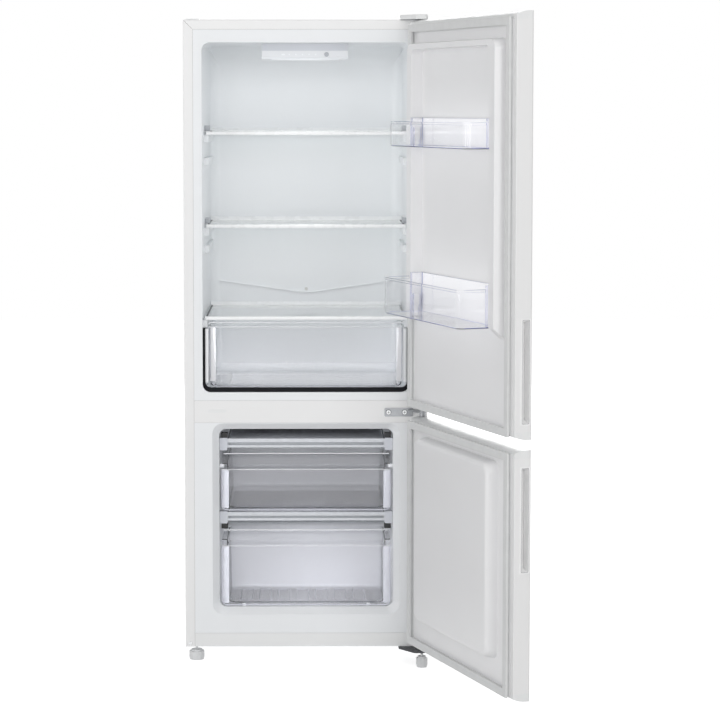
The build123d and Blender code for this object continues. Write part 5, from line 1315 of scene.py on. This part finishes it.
# ---- studio
@dataclass
class Studio:
    """Floor, lamps, surroundings and the camera of the photograph."""

    camera_at: Point = (0.00867, -5.5598, 1.37535)
    pitch: float = 0.07386
    yaw: float = -0.00774
    lens: float = 114.278
    shift: Span = (0.0456, -0.12)
    floor_half: float = 9.0
    world_light: float = 0.4
    floor_lift: float = 0.7

    def build(self) -> None:
        """Make the whole studio."""
        self.make_floor()
        self.make_world()
        self.make_lamps()
        self.make_camera()

    def background_rays(self, tree: Tree) -> Socket:
        """One for a ray that sees the background: from the eye, or sent on by gloss or glass.

        Args:
            tree: The node tree that takes the nodes.

        Returns:
            The socket that is one for such a ray.
        """
        path = add_node(tree, "LightPath")
        sent_on = add_node(tree, "Math", {"operation": "MAXIMUM"}, {
            0: path.outputs["Is Glossy Ray"], 1: path.outputs["Is Transmission Ray"],
        })
        seen = add_node(tree, "Math", {"operation": "MAXIMUM"}, {
            0: path.outputs["Is Camera Ray"], 1: sent_on.outputs["Value"],
        })
        return seen.outputs["Value"]

    def make_floor(self) -> None:
        """A pale floor that is white to the camera where no shadow falls."""
        mesh = bpy.data.meshes.new("studio_floor")
        half = self.floor_half
        corners = [(-half, -half, 0), (half, -half, 0), (half, half, 0), (-half, half, 0)]
        mesh.from_pydata(corners, [], [(0, 1, 2, 3)])
        floor = new_object("studio_floor", mesh)
        material = bpy.data.materials.new("studio_floor_paper")
        tree = bare_tree(material)
        matt = add_node(tree, "BsdfDiffuse", inputs={"Color": linear("#EDEDED")})
        seen = add_node(tree, "MapRange", inputs={
            "Value": self.background_rays(tree), "To Min": 0.0, "To Max": self.floor_lift,
        })
        lift = add_node(tree, "Emission", inputs={
            "Color": linear("#FFFFFF"), "Strength": seen.outputs["Result"],
        })
        glow = add_node(tree, "AddShader", inputs={
            0: matt.outputs["BSDF"], 1: lift.outputs["Emission"],
        })
        add_node(tree, "OutputMaterial", inputs={"Surface": glow.outputs["Shader"]})
        mesh.materials.append(material)

    def make_world(self) -> None:
        """White surroundings for the eye, gloss and glass, and softer light for the rest."""
        world = bpy.data.worlds.new("studio_surroundings")
        bpy.context.scene.world = world
        tree = bare_tree(world)
        strength = add_node(tree, "MapRange", inputs={
            "Value": self.background_rays(tree), "To Min": self.world_light, "To Max": 1.0,
        })
        back = add_node(tree, "Background", inputs={
            "Color": linear("#FFFFFF"), "Strength": strength.outputs["Result"],
        })
        add_node(tree, "OutputWorld", inputs={"Surface": back.outputs["Background"]})

    def lamp(self, name: str, at: Point, look: Point, size: Span, watts: float) -> None:
        """One soft box.

        Args:
            name: The lamp's name.
            at: Its place.
            look: The point it faces.
            size: Its width and height.
            watts: Its power.
        """
        data = bpy.data.lights.new(name, "AREA")
        data.shape = "RECTANGLE"
        data.size, data.size_y = size
        data.energy = watts
        lamp = new_object(name, data)
        lamp.location = at
        lamp.rotation_mode = "QUATERNION"
        lamp.rotation_quaternion = (Vector(look) - Vector(at)).to_track_quat("-Z", "Y")

    def glow(self, name: str, at: Point, radius: float, watts: float) -> None:
        """A soft ball of light inside the cabinet that no ray from the eye, gloss or glass meets.

        Args:
            name: The lamp's name.
            at: Its place.
            radius: Its half width.
            watts: Its power.
        """
        data = bpy.data.lights.new(name, "POINT")
        data.shadow_soft_size = radius
        data.energy = watts
        ball = new_object(name, data)
        ball.location = at
        ball.visible_camera = ball.visible_glossy = ball.visible_transmission = False

    def make_lamps(self) -> None:
        """A broad box over the camera, one at each side, behind and above, and soft fill inside."""
        self.lamp("front_box", (-0.4, -5.6, 2.1), (0.0, 0.2, 0.9), (2.4, 2.0), 42)
        self.lamp("right_box", (2.5, -5.0, 1.9), (0.0, 0.0, 0.9), (1.6, 2.0), 47)
        self.lamp("left_box", (-3.6, -3.4, 1.6), (0.2, 0.0, 0.9), (1.6, 2.2), 48)
        self.lamp("rear_box", (0.6, 5.2, 2.2), (0.0, 0.4, 0.8), (2.2, 2.0), 60)
        self.lamp("top_box", (0.3, -1.6, 3.8), (0.1, 0.1, 0.8), (2.4, 1.6), 5)
        self.glow("lower_drawer_fill", (0.0, 0.09, 0.27), 0.05, 0.2)
        self.glow("upper_drawer_fill", (0.0, 0.13, 0.45), 0.05, 0.075)
        for index, z in enumerate((1.4, 1.18, 0.95)):
            self.glow(f"fridge_lamp_{index + 1}", (0.0, 0.13, z), 0.07, 0.32)

    def make_camera(self) -> None:
        """The photograph's camera: nearly level, far off, with its frame shifted down."""
        data = bpy.data.cameras.new("photo_camera")
        data.sensor_width = 36.0
        data.lens = self.lens
        data.shift_x, data.shift_y = self.shift
        data.clip_start, data.clip_end = 0.05, 60.0
        camera = new_object("photo_camera", data)
        camera.location = self.camera_at
        camera.rotation_euler = (math.pi / 2 - self.pitch, 0.0, self.yaw)
        bpy.context.scene.camera = camera


def main() -> None:
    """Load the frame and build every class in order."""
    logging.basicConfig(level=logging.INFO, format="%(name)s: %(message)s")
    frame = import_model()
    bpy.context.scene.view_settings.view_transform = "Standard"
    Studio().build()
    Cabinet().build(frame)
    FridgeRoom().build(frame)
    FreezerRoom().build(frame)
    Door(Leaf.UPPER, (0.676, 0.905), ("upper_bin", "lower_bin")).build(frame)
    Door(Leaf.LOWER, (0.346, 0.578)).build(frame)
    Machinery().build(frame)


if __name__ == "__main__":
    main()
